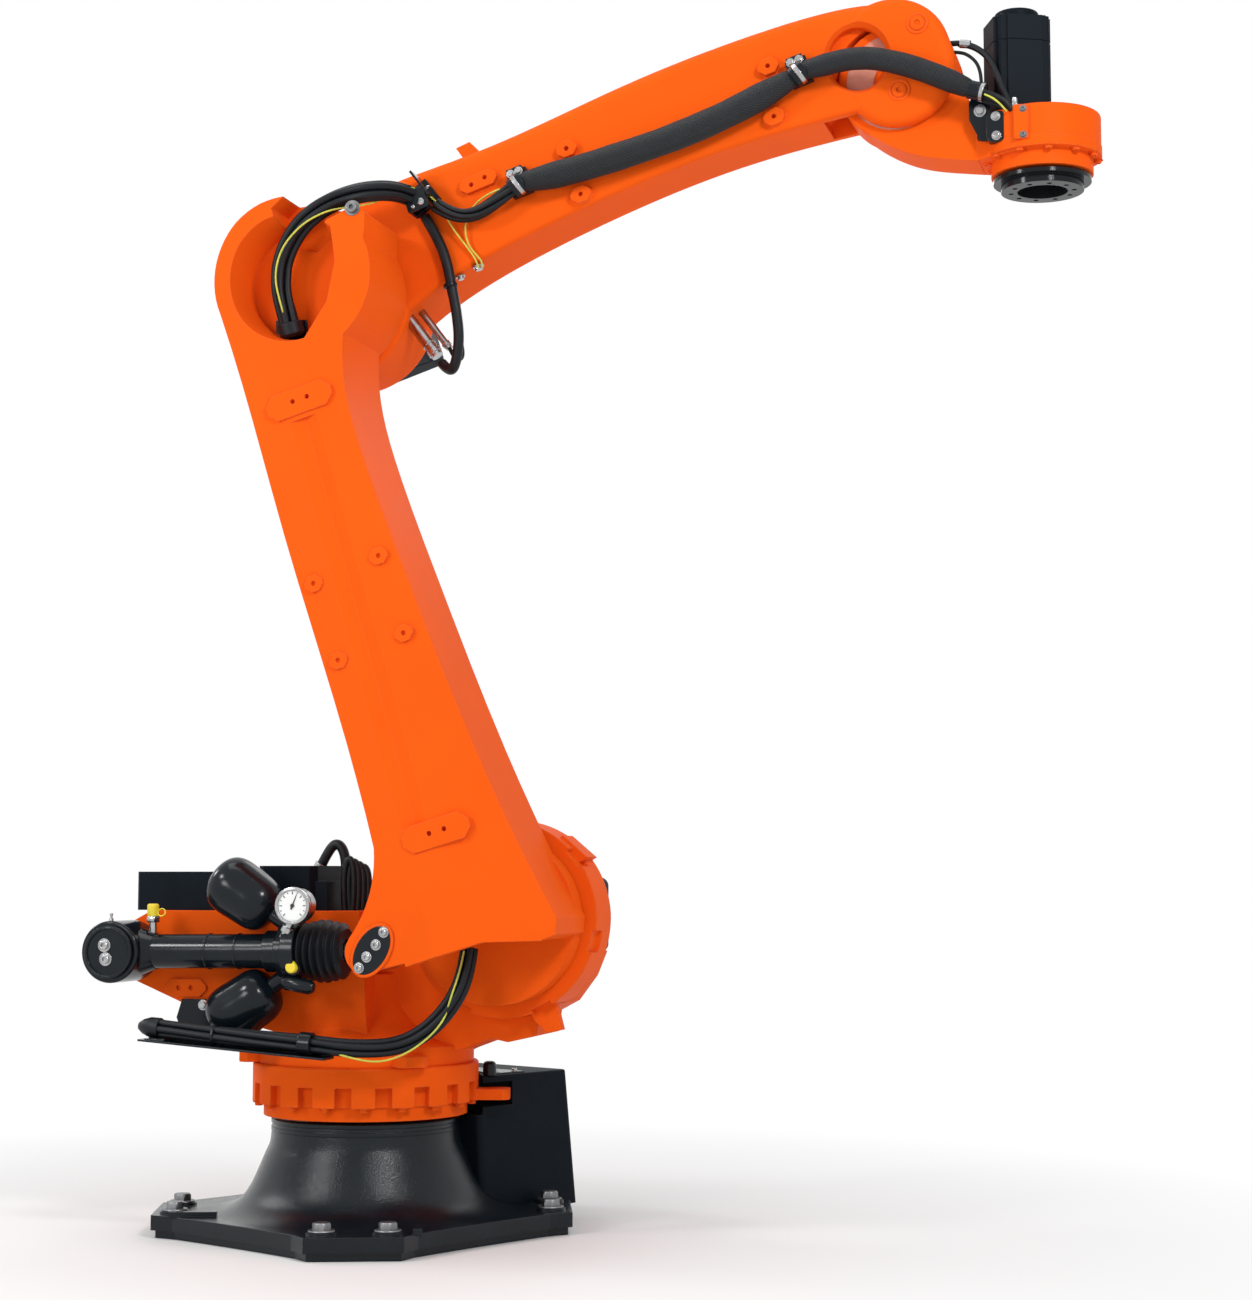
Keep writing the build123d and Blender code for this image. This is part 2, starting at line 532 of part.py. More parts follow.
def arm_casting():
    tip = ARM_LENGTH
    body = loft([
        arm_section(60, 178, -118, ARM_HALF - 3), arm_section(230, 206, -50, ARM_HALF - 3),
        arm_section(430, 200, -18, ARM_HALF - 4), arm_section(0.66 * tip, 213, -3, ARM_HALF - 7),
        arm_section(tip - 215, 203, -20, ARM_HALF - 5), arm_section(tip - 60, 183, -42, ARM_HALF - 3),
        arm_section(tip + 5, 166, -50, ARM_HALF - 3)])
    elbow = fillet(across(0, 0, ELBOW_R, -ARM_HALF, ARM_HALF).edges(), 14)
    chin = Pos(tip + 13, 14) * CenterArc((0, 0), TIP_R, 0, 360)
    crown = Pos(tip + 8, 45) * CenterArc((0, 0), TIP_CROWN_R, 0, 360)
    nose = slab(make_hull([chin.edge(), crown.edge()]), -ARM_HALF, ARM_HALF)
    casting = body + elbow + fillet(nose.edges().filter_by(Axis.Y, reverse=True), 24)
    casting += slab(polygon((352, 198), (340, 236), (372, 238), (392, 198)), -34, 0)
    slot = Pos(tip, 0) * (Circle(HUB_R + HUB_GAP) + polygon(
        (-162, 0), (-162, -300), (300, -300), (300, 300), (34, 300), (30, 118)))
    eyelet = Pos(tip - 56, 65)
    window = eyelet * Ellipse(*WINDOW)
    rim = eyelet * Ellipse(WINDOW[0] + 10, WINDOW[1] + 10)
    bevel = loft([Plane.XZ.offset(ARM_HALF) * rim, Plane.XZ.offset(ARM_HALF - 12) * window])
    casting -= [slab(slot, -FORK_HALF, FORK_HALF), slab(window, -ARM_HALF, -FORK_HALF), bevel]
    seats = ((378, 126, 84), (578, 118, 44), (577, 15, 44), (tip - 229, 117, 44), (tip - 250, 13, 44))
    pads = [slab(Pos(x, z) * octagon(length, 34, 12), -ARM_HALF - 8, -ARM_HALF + 10)
            for x, z, length in seats]
    taps = ((362, 124), (394, 128), (578, 118), (577, 15), (tip - 229, 117), (tip - 250, 13))
    holes = [across(x, z, PAD_HOLE_R, -ARM_HALF - 8, -ARM_HALF + 4) for x, z in taps]
    pins = [across(tip, 0, A5_PIN_R, FORK_HALF - SPIGOT, FORK_HALF),
            across(tip, 0, A5_PIN_R, -FORK_HALF, SPIGOT - FORK_HALF)]
    return casting + pads - holes + pins


def a3_gear_flange():
    near = LINK_FAR + RUNNING_GAP
    disc = across(0, 0, A3_FLANGE_R, near, -ARM_HALF)
    step = 360 / A3_TEETH
    cut = slab(Pos(A3_FLANGE_R + 2, 0) * Circle(9), near, -ARM_HALF)
    spigot = across(0, 0, A3_SPIGOT_R, LINK_FAR - SPIGOT, near)
    return disc + spigot - [Rot(0, step * k, 0) * cut for k in range(A3_TEETH)]


def a3_motor():
    flange = across(0, 0, MOTOR_FLANGE_R - 12, ARM_HALF, ARM_HALF + MOTOR_FLANGE_T)
    start = ARM_HALF + MOTOR_FLANGE_T
    can = slab(RectangleRounded(MOTOR_3, MOTOR_3, 18), start, start + MOTOR_3_LENGTH)
    band = Rectangle(300, 300) - RectangleRounded(MOTOR_3 - 12, MOTOR_3 - 12, 14)
    grooves = [slab(band, start + d, start + d + 5) for d in (60, MOTOR_3_LENGTH - 60)]
    plug = Pos(0, start + MOTOR_3_LENGTH - 100, MOTOR_3 / 2 + 20) * Box(48, 60, 42)
    return flange + can - grooves + plug


def sleeve_clamp(x, z):
    """A foot on the arm, a strap round the sleeve's neck and its two ears."""
    foot = Pos(x, -ARM_HALF, z + 12) * Box(44, 20, 56)
    strap = Pos(x, -ARM_HALF - 12 - SLEEVE_NECK_R, z) * Rot(0, 90 - 20, 0) * (
        Cylinder(SLEEVE_NECK_R + 5, 30) - Cylinder(SLEEVE_NECK_R - 1 + FIT, 30))
    return foot + strap + Pos(x, -ARM_HALF - 14, z + 30) * Box(34, 20, 22)


def elbow_clamp():
    plate = slab(Pos(252, 138) * Rot(0, 0, 20) * Rectangle(62, 54), -ARM_HALF - 12, 6 - ARM_HALF)
    return plate + Pos(270.4, -ARM_HALF - 34, 150) * Rot(0, -20, 0) * Box(5, 60, 66)


def branch_connectors():
    one = Pos(151, -50, -125) * Rot(0, 160, 0) * Cylinder(13, 119)
    two = Pos(176, -30, -114) * Rot(0, 160, 0) * Cylinder(8, 116)
    return one + two


def wrist_housing():
    hub = fillet(across(0, 0, HUB_R, -HUB_HALF, HUB_HALF).edges(), 6)
    web = make_face(Spline((-60, -100), (-20, -128), (40, -155), (100, -168), (165, -177)) + Polyline(
        (165, -177), (165, HEAD_6_TOP + 6), (70, 80), (-60, -100)))
    low = HEAD_6_SEAM - 4
    middle = (HEAD_6_TOP + low) / 2
    near = Plane.YZ.offset(162) * Pos(0, middle) * Rectangle(2 * HUB_HALF, HEAD_6_TOP - low)
    far = Plane.YZ.offset(WRIST_REACH - 40) * Pos(0, middle) * Rectangle(2 * HEAD_6_R - 24, HEAD_6_TOP - low)
    head = upright(HEAD_6_R, HEAD_6_SEAM, HEAD_6_TOP, WRIST_REACH)
    head = fillet(head.edges().group_by(Axis.Z)[-1], 7)
    pad = Pos(WRIST_REACH - 28, -HEAD_6_R + 6, HEAD_6_TOP - 38) * Box(28, 20, 68)
    ring = upright(RING_6_R, HEAD_6_BOTTOM, HEAD_6_SEAM, WRIST_REACH)
    pin_end = FORK_HALF - SPIGOT - 2
    sockets = [across(0, 0, A5_PIN_R + FIT, pin_end, HUB_HALF),
               across(0, 0, A5_PIN_R + FIT, -HUB_HALF, -pin_end)]
    flange_socket = upright(A6_SPIGOT_R + FIT, HEAD_6_BOTTOM, HEAD_6_BOTTOM + SPIGOT, WRIST_REACH)
    body = hub + slab(web, -HUB_HALF, HUB_HALF) + loft([near, far]) + head + pad + ring
    return body - sockets - flange_socket


def a6_motor():
    cross = Rectangle(MOTOR_6, MOTOR_6_PANEL) + Rectangle(MOTOR_6_PANEL, MOTOR_6)
    cross += RectangleRounded(MOTOR_6 - 12, MOTOR_6 - 12, 6)
    seam = MOTOR_6_TOP - 52
    can = Pos(0, 0, HEAD_6_TOP) * extrude(cross, seam - HEAD_6_TOP)
    joint = Pos(0, 0, seam) * extrude(offset(cross, -2), 2)
    lid = Pos(0, 0, seam + 2) * extrude(cross, MOTOR_6_TOP - seam - 2)
    cap = fillet(upright(44, MOTOR_6_TOP, MOTOR_6_TOP + 20).edges().group_by(Axis.Z)[-1], 5)
    return Pos(WRIST_REACH - MOTOR_6_BACK, 0, 0) * Rot(0, 0, MOTOR_6_TURN) * (can + joint + lid + cap)


def wrist_bracket():
    plate = polygon((164, -40), (150, -66), (150, -100), (172, -144), (192, -146), (192, -60), (178, -40))
    return slab(plate, -HUB_HALF - 26, -HUB_HALF - 20) + Pos(176, -HUB_HALF - 10, -112) * Box(22, 22, 52)


def tool_flange():
    bottom = -FLANGE_DROP
    top = HEAD_6_BOTTOM - RUNNING_GAP
    collar = upright(FLANGE_STEP_R, top - FLANGE_STEP_T, top, WRIST_REACH)
    plate = upright(FLANGE_R, bottom, top, WRIST_REACH)
    spigot = upright(A6_SPIGOT_R, top, top + SPIGOT, WRIST_REACH)
    bore = upright(FLANGE_BORE_R, bottom, bottom + FLANGE_BORE_DEPTH, WRIST_REACH)
    hole = upright(FLANGE_HOLE_R, bottom, bottom + 18, FLANGE_PCD / 2)
    holes = [Pos(WRIST_REACH, 0, 0) * Rot(0, 0, 360 / FLANGE_HOLES * k) * hole for k in range(FLANGE_HOLES)]
    return collar + plate + spigot - bore - holes


os.makedirs("parts", exist_ok=True)

save("base_frame", base_frame())
save("connection_box", connection_box())
save("a1_stop_post", a1_stop_post())

column = column_casting()
housing = rear_housing()
column_bundle = hose(
    BUNDLE_R - 3, (-345, -312, 430), (-150, -312, 412), (-10, -312, 403), (90, -300, 392), (173, -272, 396),
    (A2_REACH - 96, -258, A2_HEIGHT - 215), (A2_REACH - 47, -250, A2_HEIGHT - 156),
    (A2_REACH - 28, -240, A2_HEIGHT - 98), (A2_REACH - 26, -232, A2_HEIGHT - 55))
rear_loop = hose(
    BRANCH_R, (-90, -60, 735), (-68, -62, 778), (-46, -64, 802), (-27, -64, 782), (-24, -62, 730),
    (-22, -60, 655))
save("turntable_ring", turntable_ring(), COLUMN)
save("column_casting", column, COLUMN)
save("a2_gear_housing", a2_gear_housing(), COLUMN)
save("a2_motor", a2_motor(), COLUMN)
save("rear_housing", housing, COLUMN)
save("boom_pin", boom_pin(), COLUMN)
save("cable_tray", cable_tray() - column_bundle, COLUMN)
save("rear_hose_loop", rear_loop - housing - column, COLUMN)
save("column_hoses", column_bundle, COLUMN)

save("cylinder_barrel", cylinder_barrel(), CYLINDER)
save("eye_cover", eye_cover(), CYLINDER)
save("cylinder_head", cylinder_head(), CYLINDER)
save("upper_accumulator", accumulator(1), CYLINDER)
save("lower_accumulator", accumulator(-1), CYLINDER)
save("pressure_gauge", pressure_gauge(), CYLINDER)
save("fill_valve", fill_valve(), CYLINDER)
save("piston_rod", piston_rod(), CYLINDER)
save("rod_bellows", rod_bellows(), CYLINDER)

top = LINK_LENGTH
elbow_bundle = hose(
    BUNDLE_R, (-46, -270, top - 88), (-42, -282, top - 40), (-38, -286, top), (-18, -288, top + 56),
    (34, -290, top + 108), (98, -288, top + 132), (161, -268, top + 140), (206, -210, top + 147),
    (233, -150, top + 146), (250, -122, top + 132))
save("link_arm", link_arm(), LINK)
save("lever_cover", lever_cover(), LINK)
save("elbow_hoses", elbow_bundle, LINK)

reach = ARM_LENGTH
tail = hose(
    SLEEVE_NECK_R - 1, (282, -118, 104), (306, -117, 72), (354, -117, 50), (415, -117, 62), (452, -117, 74))
arm_sleeve = sleeve(
    SLEEVE_R, SLEEVE_NECK_R - 1, (470, -117, 79), (520, -118, 68), (640, -119, 52), (0.665 * reach, -119, 40),
    (reach - 252, -118, 52), (reach - 183, -117, 66))
wrist_route = (
    (reach - 163, -117, 70), (reach - 119, -120, 64), (reach - 67, -124, 54), (reach - 20, -128, 34),
    (reach + 36, -130, -6), (reach + 89, -124, -52), (reach + 137, -108, -96))
wrist_sleeve = sleeve(WRIST_SLEEVE_R, SLEEVE_NECK_R - 1, *wrist_route)
wrist_room = sleeve(WRIST_SLEEVE_R + FIT, SLEEVE_NECK_R - 1 + FIT, *wrist_route)
arm = arm_casting()
save("arm_casting", arm, ARM)
save("a3_gear_flange", a3_gear_flange(), ARM)
save("a3_motor", a3_motor(), ARM)
save("elbow_clamp", elbow_clamp() - ARM.inverse() * LINK * elbow_bundle - arm, ARM)
save("sleeve_clamp_inner", sleeve_clamp(462, 76) - arm_sleeve - tail - arm, ARM)
save("sleeve_clamp_outer", sleeve_clamp(reach - 173, 68) - arm_sleeve - wrist_room - arm, ARM)
save("arm_hose_tail", tail, ARM)
save("arm_hose_sleeve", arm_sleeve, ARM)
save("branch_hose", hose(
    BRANCH_R, (247, -96.4, 97), (256, -96.4, 60), (264, -96.4, 0), (256, -96.4, -72), (251, -95, -117),
    (237, -88, -177), (208, -76, -224), (188, -62, -226), (176, -52, -200)), ARM)
save("branch_connectors", branch_connectors() - arm, ARM)

wrist = wrist_housing()
save("wrist_housing", wrist, WRIST)
motor = a6_motor()
save("a6_motor", motor, WRIST)
save("wrist_bracket", wrist_bracket() - wrist, WRIST)
save("wrist_hose_sleeve", wrist_sleeve, ARM)
lead = hose(LEAD_R, (128, -52, 66), (150, -52, 62), (180, -60, 40), (200, -69, 8), (213, -73, -30))
save("motor_leads", lead - motor, WRIST)
save("tool_flange", tool_flange(), WRIST)
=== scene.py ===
"""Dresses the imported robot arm: finishes, fasteners, hoses, gauge and clamps, under plain studio light."""
import math

import bmesh
import bpy
from mathutils import Matrix, Vector

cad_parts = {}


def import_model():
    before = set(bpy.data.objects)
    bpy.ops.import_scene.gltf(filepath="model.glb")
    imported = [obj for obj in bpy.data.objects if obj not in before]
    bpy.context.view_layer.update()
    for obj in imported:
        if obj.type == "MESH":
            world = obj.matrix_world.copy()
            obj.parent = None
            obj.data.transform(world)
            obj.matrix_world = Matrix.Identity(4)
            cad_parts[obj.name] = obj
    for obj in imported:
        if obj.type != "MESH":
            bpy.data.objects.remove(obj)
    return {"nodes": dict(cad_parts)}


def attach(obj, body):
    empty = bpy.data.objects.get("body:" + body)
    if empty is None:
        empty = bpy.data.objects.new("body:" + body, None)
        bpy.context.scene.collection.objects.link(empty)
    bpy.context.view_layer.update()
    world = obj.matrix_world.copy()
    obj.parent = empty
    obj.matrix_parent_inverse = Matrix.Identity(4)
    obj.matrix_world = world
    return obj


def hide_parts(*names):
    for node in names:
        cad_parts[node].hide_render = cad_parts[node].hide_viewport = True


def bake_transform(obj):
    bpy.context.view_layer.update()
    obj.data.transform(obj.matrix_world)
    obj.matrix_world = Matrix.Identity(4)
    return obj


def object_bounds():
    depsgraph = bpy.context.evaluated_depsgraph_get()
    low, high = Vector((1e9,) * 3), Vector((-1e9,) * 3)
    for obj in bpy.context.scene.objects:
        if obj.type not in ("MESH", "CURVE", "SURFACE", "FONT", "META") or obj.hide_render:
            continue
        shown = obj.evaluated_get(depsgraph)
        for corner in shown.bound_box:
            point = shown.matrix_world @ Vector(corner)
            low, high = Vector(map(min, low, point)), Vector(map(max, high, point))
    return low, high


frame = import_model()
cad_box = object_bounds()

# Joint layout, repeated from the solids, in millimetres and degrees
HEADING, LINK_LEAN, ARM_RISE = 116.5, 16.5, 18.0
A2_REACH, A2_HEIGHT, LINK_LENGTH, ARM_LENGTH = 330.0, 645.0, 1350.0, 1255.0
WRIST_REACH = 285.0
LEVER, EYE_X, EYE_Z, CYL_Y = 222.0, -452.0, 577.0, -224.0

# Faces that the small pieces stand on, repeated from the solids
PLATE_TOP, BOX_TOP, RING_BOTTOM, BOOM_NEAR = 51.0, 314.0, 269.0, -150.0
EYE_R, EYE_FACE, HEAD_END, HEAD_R, TUBE_R, VALVE_X = 63.0, 61.0, 168.0, 54.0, 35.0, 70.0
LINK_NEAR, ARM_HALF, HUB_HALF, SLEEVE_NECK_R = 330.0, 88.0, 52.0, 17.0
HEAD_6_R, HEAD_6_SEAM, PAD_FACE = 117.0, -172.0, 121.0
MOTOR_6_BACK, MOTOR_6_TOP, MOTOR_6_TURN = 47.0, 114.0, 23.0

MM = Matrix.Scale(0.001, 4)


def turned(x, y, z, rise=0.0):
    """A frame in the plane of the arm, tipped so that its X axis rises."""
    return Matrix.Translation((x, y, z)) @ Matrix.Rotation(-math.radians(rise), 4, "Y")


lean, rise = math.radians(LINK_LEAN), math.radians(ARM_RISE)
a3 = (A2_REACH - LINK_LENGTH * math.sin(lean), A2_HEIGHT + LINK_LENGTH * math.cos(lean))
a5 = (a3[0] + ARM_LENGTH * math.cos(rise), a3[1] + ARM_LENGTH * math.sin(rise))
pin = (A2_REACH - LEVER * math.cos(lean), A2_HEIGHT - LEVER * math.sin(lean))
CYL_LENGTH = math.hypot(pin[0] - EYE_X, pin[1] - EYE_Z)
CYL_RISE = math.degrees(math.atan2(pin[1] - EYE_Z, pin[0] - EYE_X))
BASE = Matrix.Identity(4)
COLUMN = Matrix.Rotation(math.radians(HEADING), 4, "Z")
LINK = COLUMN @ turned(A2_REACH, 0, A2_HEIGHT, LINK_LEAN)
ARM = COLUMN @ turned(a3[0], 0, a3[1], ARM_RISE)
WRIST = COLUMN @ turned(a5[0], 0, a5[1])
CYLINDER = COLUMN @ turned(EYE_X, CYL_Y, EYE_Z, CYL_RISE)
UP, NEAR, DOWN = Vector((0, 0, 1)), Vector((0, -1, 0)), Vector((0, 0, -1))
NEAR_FACE = Matrix.Rotation(math.radians(90), 4, "X")


def world(at, point):
    """A point of one of these frames, in metres in the shared frame."""
    return MM @ at @ Vector(point)


# Materials
GLOSS_SPREAD = 0.07
BEVEL_SAMPLES = 4
EDGE_STARTS, EDGE_FULL = 0.995, 0.9  # cosine between the face and its softened normal
WEAVE_DEPTH, WEAVE_SHADE = 0.002, 0.6


def node(tree, kind, **inputs):
    """A new shader node with these inputs set; an underscore stands for a space."""
    made = tree.nodes.new(kind)
    for key, value in inputs.items():
        made.inputs[key.replace("_", " ")].default_value = value
    return made


def finish(name, colour, roughness, grain, mottle, patch, metallic=0.0, edge=0.0, edge_radius=0.003,
           weave=None, specular=0.5):
    """A painted, cast, metal or rubber finish: mottled colour, uneven gloss, fine grain and softened edges,
    lightened along the rims as a painted highlight.
    """
    made = bpy.data.materials.new(name)
    made.use_nodes = True
    tree = made.node_tree
    link = tree.links.new
    shader = tree.nodes["Principled BSDF"]
    shader.inputs["Metallic"].default_value = metallic
    shader.inputs["Specular IOR Level"].default_value = specular
    place = tree.nodes.new("ShaderNodeTexCoord").outputs["Object"]
    broad = node(tree, "ShaderNodeTexNoise", Scale=patch, Detail=3.0)
    link(place, broad.inputs["Vector"])
    ramp = tree.nodes.new("ShaderNodeValToRGB")
    ramp.color_ramp.elements[0].position = 0.3
    ramp.color_ramp.elements[1].position = 0.7
    ramp.color_ramp.elements[0].color = (*[c * (1 - mottle) for c in colour], 1)
    ramp.color_ramp.elements[1].color = (*[min(1, c * (1 + mottle)) for c in colour], 1)
    link(broad.outputs["Fac"], ramp.inputs["Fac"])
    tint = ramp.outputs["Color"]
    gloss = node(tree, "ShaderNodeMapRange", To_Min=roughness - GLOSS_SPREAD, To_Max=roughness + GLOSS_SPREAD)
    link(broad.outputs["Fac"], gloss.inputs["Value"])
    link(gloss.outputs["Result"], shader.inputs["Roughness"])
    soft = node(tree, "ShaderNodeBevel", Radius=edge_radius)
    soft.samples = BEVEL_SAMPLES
    # Where the softened normal turns away from the face, the colour is lightened: a painted highlight along the
    # edges.
    if edge:
        flat = tree.nodes.new("ShaderNodeNewGeometry")
        turn = tree.nodes.new("ShaderNodeVectorMath")
        turn.operation = "DOT_PRODUCT"
        link(soft.outputs["Normal"], turn.inputs[0])
        link(flat.outputs["Normal"], turn.inputs[1])
        painted_edge_highlight = node(tree, "ShaderNodeMapRange", From_Min=EDGE_STARTS, From_Max=EDGE_FULL, To_Min=0.0, To_Max=edge)
        link(turn.outputs["Value"], painted_edge_highlight.inputs["Value"])
        mix = tree.nodes.new("ShaderNodeMix")
        mix.data_type = "RGBA"
        link(painted_edge_highlight.outputs["Result"], mix.inputs["Factor"])
        link(tint, mix.inputs["A"])
        mix.inputs["B"].default_value = (*[min(1, c * 1.2 + 0.035) for c in colour], 1)
        tint = mix.outputs["Result"]
    scale, strength = grain
    fine = node(tree, "ShaderNodeTexNoise", Scale=scale, Detail=2.0)
    link(place, fine.inputs["Vector"])
    bump = node(tree, "ShaderNodeBump", Strength=strength, Distance=0.001)
    link(fine.outputs["Fac"], bump.inputs["Height"])
    link(soft.outputs["Normal"], bump.inputs["Normal"])
    normal = bump.outputs["Normal"]
    if weave:
        tint, normal = woven(tree, tint, normal, *weave)
    link(tint, shader.inputs["Base Color"])
    link(normal, shader.inputs["Normal"])
    return made


def woven(tree, tint, normal, around, along, strength):
    """Crossing strands of a braided sleeve, laid by the sleeve's own UV map, darkened between the strands as
    painted shade.
    """
    link = tree.links.new
    uv = tree.nodes.new("ShaderNodeUVMap")
    uv.uv_map = "UVMap"
    height = None
    for sign in (1, -1):
        mapping = node(tree, "ShaderNodeMapping", Scale=(around, sign * along, 1))
        link(uv.outputs["UV"], mapping.inputs["Vector"])
        wave = node(tree, "ShaderNodeTexWave", Scale=1.0, Distortion=0.3, Detail=1.0)
        wave.bands_direction = "DIAGONAL"
        link(mapping.outputs["Vector"], wave.inputs["Vector"])
        if height is None:
            height = wave.outputs["Fac"]
        else:
            higher = tree.nodes.new("ShaderNodeMath")
            higher.operation = "MAXIMUM"
            link(height, higher.inputs[0])
            link(wave.outputs["Fac"], higher.inputs[1])
            height = higher.outputs["Value"]
    bump = node(tree, "ShaderNodeBump", Strength=strength, Distance=WEAVE_DEPTH)
    link(height, bump.inputs["Height"])
    link(normal, bump.inputs["Normal"])
    # The colour is darkened where the weave is low, between the strands: painted shade.
    mix = tree.nodes.new("ShaderNodeMix")
    mix.data_type = "RGBA"
    mix.blend_type = "MULTIPLY"
    mix.inputs["Factor"].default_value = WEAVE_SHADE
    link(tint, mix.inputs["A"])
    link(height, mix.inputs["B"])
    return mix.outputs["Result"], bump.outputs["Normal"]


orange = finish("orange_paint", (0.86, 0.105, 0.0075), 0.42, grain=(420, 0.10), mottle=0.035, patch=5,
                edge=0.5, edge_radius=0.004, specular=0.012)
cast_black = finish("black_casting", (0.005, 0.0085, 0.012), 0.22, grain=(330, 0.7), mottle=0.2, patch=14,
                    edge=0.25, specular=0.26)
gloss_black = finish("black_paint", (0.0045, 0.008, 0.0115), 0.17, grain=(700, 0.06), mottle=0.18, patch=12,
                     edge=0.3, specular=0.24)
matt_black = finish("black_motor", (0.006, 0.0095, 0.014), 0.5, grain=(900, 0.12), mottle=0.15, patch=16,
                    edge=0.35, specular=0.05)
rubber = finish("black_rubber", (0.005, 0.007, 0.0095), 0.46, grain=(1200, 0.12), mottle=0.2, patch=30,
                specular=0.25)
braid = finish("braided_sleeve", (0.009, 0.0115, 0.0145), 0.55, grain=(1500, 0.1), mottle=0.2, patch=30,
               weave=(16, 16, 0.7), specular=0.3)
steel = finish("bright_steel", (0.42, 0.425, 0.43), 0.24, grain=(800, 0.05), mottle=0.12, patch=60,
               metallic=1.0, edge=0.2, edge_radius=0.001)
dark_steel = finish("dark_steel", (0.010, 0.0115, 0.0135), 0.13, grain=(1300, 0.03), mottle=0.15, patch=25,
                    edge=0.3, edge_radius=0.0015, specular=0.12)
zinc = finish("zinc_plate", (0.20, 0.205, 0.21), 0.42, grain=(700, 0.1), mottle=0.15, patch=40,
              metallic=1.0, edge=0.2, edge_radius=0.001)
yellow = finish("yellow_plastic", (0.80, 0.62, 0.03), 0.4, grain=(900, 0.05), mottle=0.05, patch=40)
wire = finish("earth_wire", (0.55, 0.56, 0.07), 0.45, grain=(900, 0.05), mottle=0.15, patch=60)
white = finish("dial_white", (0.82, 0.83, 0.82), 0.5, grain=(900, 0.02), mottle=0.02, patch=40)
ink = finish("dial_ink", (0.012, 0.012, 0.013), 0.5, grain=(900, 0.02), mottle=0.1, patch=40)
bare = finish("bare_casting", (0.60, 0.235, 0.165), 0.55, grain=(260, 0.3), mottle=0.14, patch=40)

NODE_FINISH = {
    orange: "turntable_ring column_casting a2_gear_housing link_arm arm_casting a3_gear_flange wrist_housing",
    cast_black: "base_frame a1_stop_post",
    gloss_black: ("cylinder_barrel eye_cover cylinder_head upper_accumulator lower_accumulator lever_cover "
                  "cable_tray elbow_clamp wrist_bracket sleeve_clamp_inner sleeve_clamp_outer"),
    matt_black: "a2_motor a3_motor a6_motor rear_housing connection_box",
    rubber: "rod_bellows column_hoses elbow_hoses arm_hose_tail branch_hose motor_leads rear_hose_loop",
    braid: "arm_hose_sleeve wrist_hose_sleeve",
    steel: "pressure_gauge fill_valve boom_pin piston_rod branch_connectors",
    dark_steel: "tool_flange",
}
for made, names in NODE_FINISH.items():
    for name in names.split():
        body = frame["nodes"][name]
        body.data.materials.clear()
        body.data.materials.append(made)

# Mesh helpers: shapes are drawn in millimetres in a frame of the solids
WELD = 1e-4
SHARP_ANGLE, TUBE_SHARP_ANGLE = math.radians(35), math.radians(50)
FEW_STEPS, BAND_STEPS, MANY_STEPS = 24, 36, 48


def add_object(name, mesh, material, body=None):
    """Puts a mesh in the scene, riding on a body and in a material slot of the part where they are given."""
    made = bpy.data.objects.new(name, mesh)
    bpy.context.scene.collection.objects.link(made)
    mesh.materials.append(material)
    if body:
        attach(made, body)
    return made


def to_mesh(name, shape, at):
    """The mesh of a shape drawn in millimetres, smooth but for its sharp edges."""
    mesh = bpy.data.meshes.new(name)
    bmesh.ops.remove_doubles(shape, verts=shape.verts, dist=WELD)
    bmesh.ops.recalc_face_normals(shape, faces=shape.faces)
    shape.transform(MM @ at)
    shape.to_mesh(mesh)
    shape.free()
    mesh.shade_smooth()
    mesh.set_sharp_from_angle(angle=SHARP_ANGLE)
    return mesh


def rim(radius, angle, sides):
    """Distance from the middle to the edge of a circle, or of a polygon with so many sides."""
    if not sides:
        return radius
    half = math.pi / sides
    return radius * math.cos(half) / math.cos(angle % (2 * half) - half)


def lathe(shape, profile, at=Matrix.Identity(4), steps=FEW_STEPS):
    """Turns rows of (radius, height) round Z; a third number makes the row a polygon with so many sides."""
    rings = []
    for radius, height, *sides in profile:
        if radius <= 0:
            rings.append([shape.verts.new(at @ Vector((0, 0, height)))])
            continue
        ring = []
        for k in range(steps):
            angle = 2 * math.pi * k / steps
            reach = rim(radius, angle, sides[0] if sides else 0)
            spot = Vector((reach * math.cos(angle), reach * math.sin(angle), height))
            ring.append(shape.verts.new(at @ spot))
        rings.append(ring)
    for low, high in zip(rings, rings[1:]):
        for k in range(steps):
            n = (k + 1) % steps
            corners = [low[k % len(low)], low[n % len(low)], high[n % len(high)], high[k % len(high)]]
            corners = list(dict.fromkeys(corners))
            if len(corners) > 2:
                shape.faces.new(corners)


def towards(point, direction):
    """A frame at a point with its Z axis along a direction."""
    return Matrix.Translation(point) @ Vector(direction).to_track_quat("Z", "Y").to_matrix().to_4x4()


def socket_screw(shape, at, radius):
    """A cap screw with a hexagon socket and a rounded rim, on its washer."""
    tall, key = 0.9 * radius, 0.52 * radius
    lathe(shape, [(radius * 1.45, 0), (radius * 1.45, 0.18 * radius), (radius, 0.18 * radius),
                  (radius, tall * 0.86), (radius * 0.86, tall), (key, tall, 6), (key, tall * 0.35, 6),
                  (0, tall * 0.3)], at)


def hex_screw(shape, at, radius):
    """A hexagon head on its washer, with a chamfered crown."""
    lathe(shape, [(radius * 1.35, 0), (radius * 1.4, 0.1 * radius), (radius * 1.35, 0.22 * radius),
                  (radius, 0.22 * radius, 6), (radius, 0.78 * radius, 6), (radius * 0.84, 0.95 * radius),
                  (0, 0.95 * radius)], at)


def round_screw(shape, at, radius):
    """A domed head with a small socket."""
    lathe(shape, [(radius, 0), (radius, 0.2 * radius), (radius * 0.8, 0.48 * radius),
                  (radius * 0.45, 0.6 * radius, 6), (radius * 0.45, 0.25 * radius, 6),
                  (0, 0.22 * radius)], at)


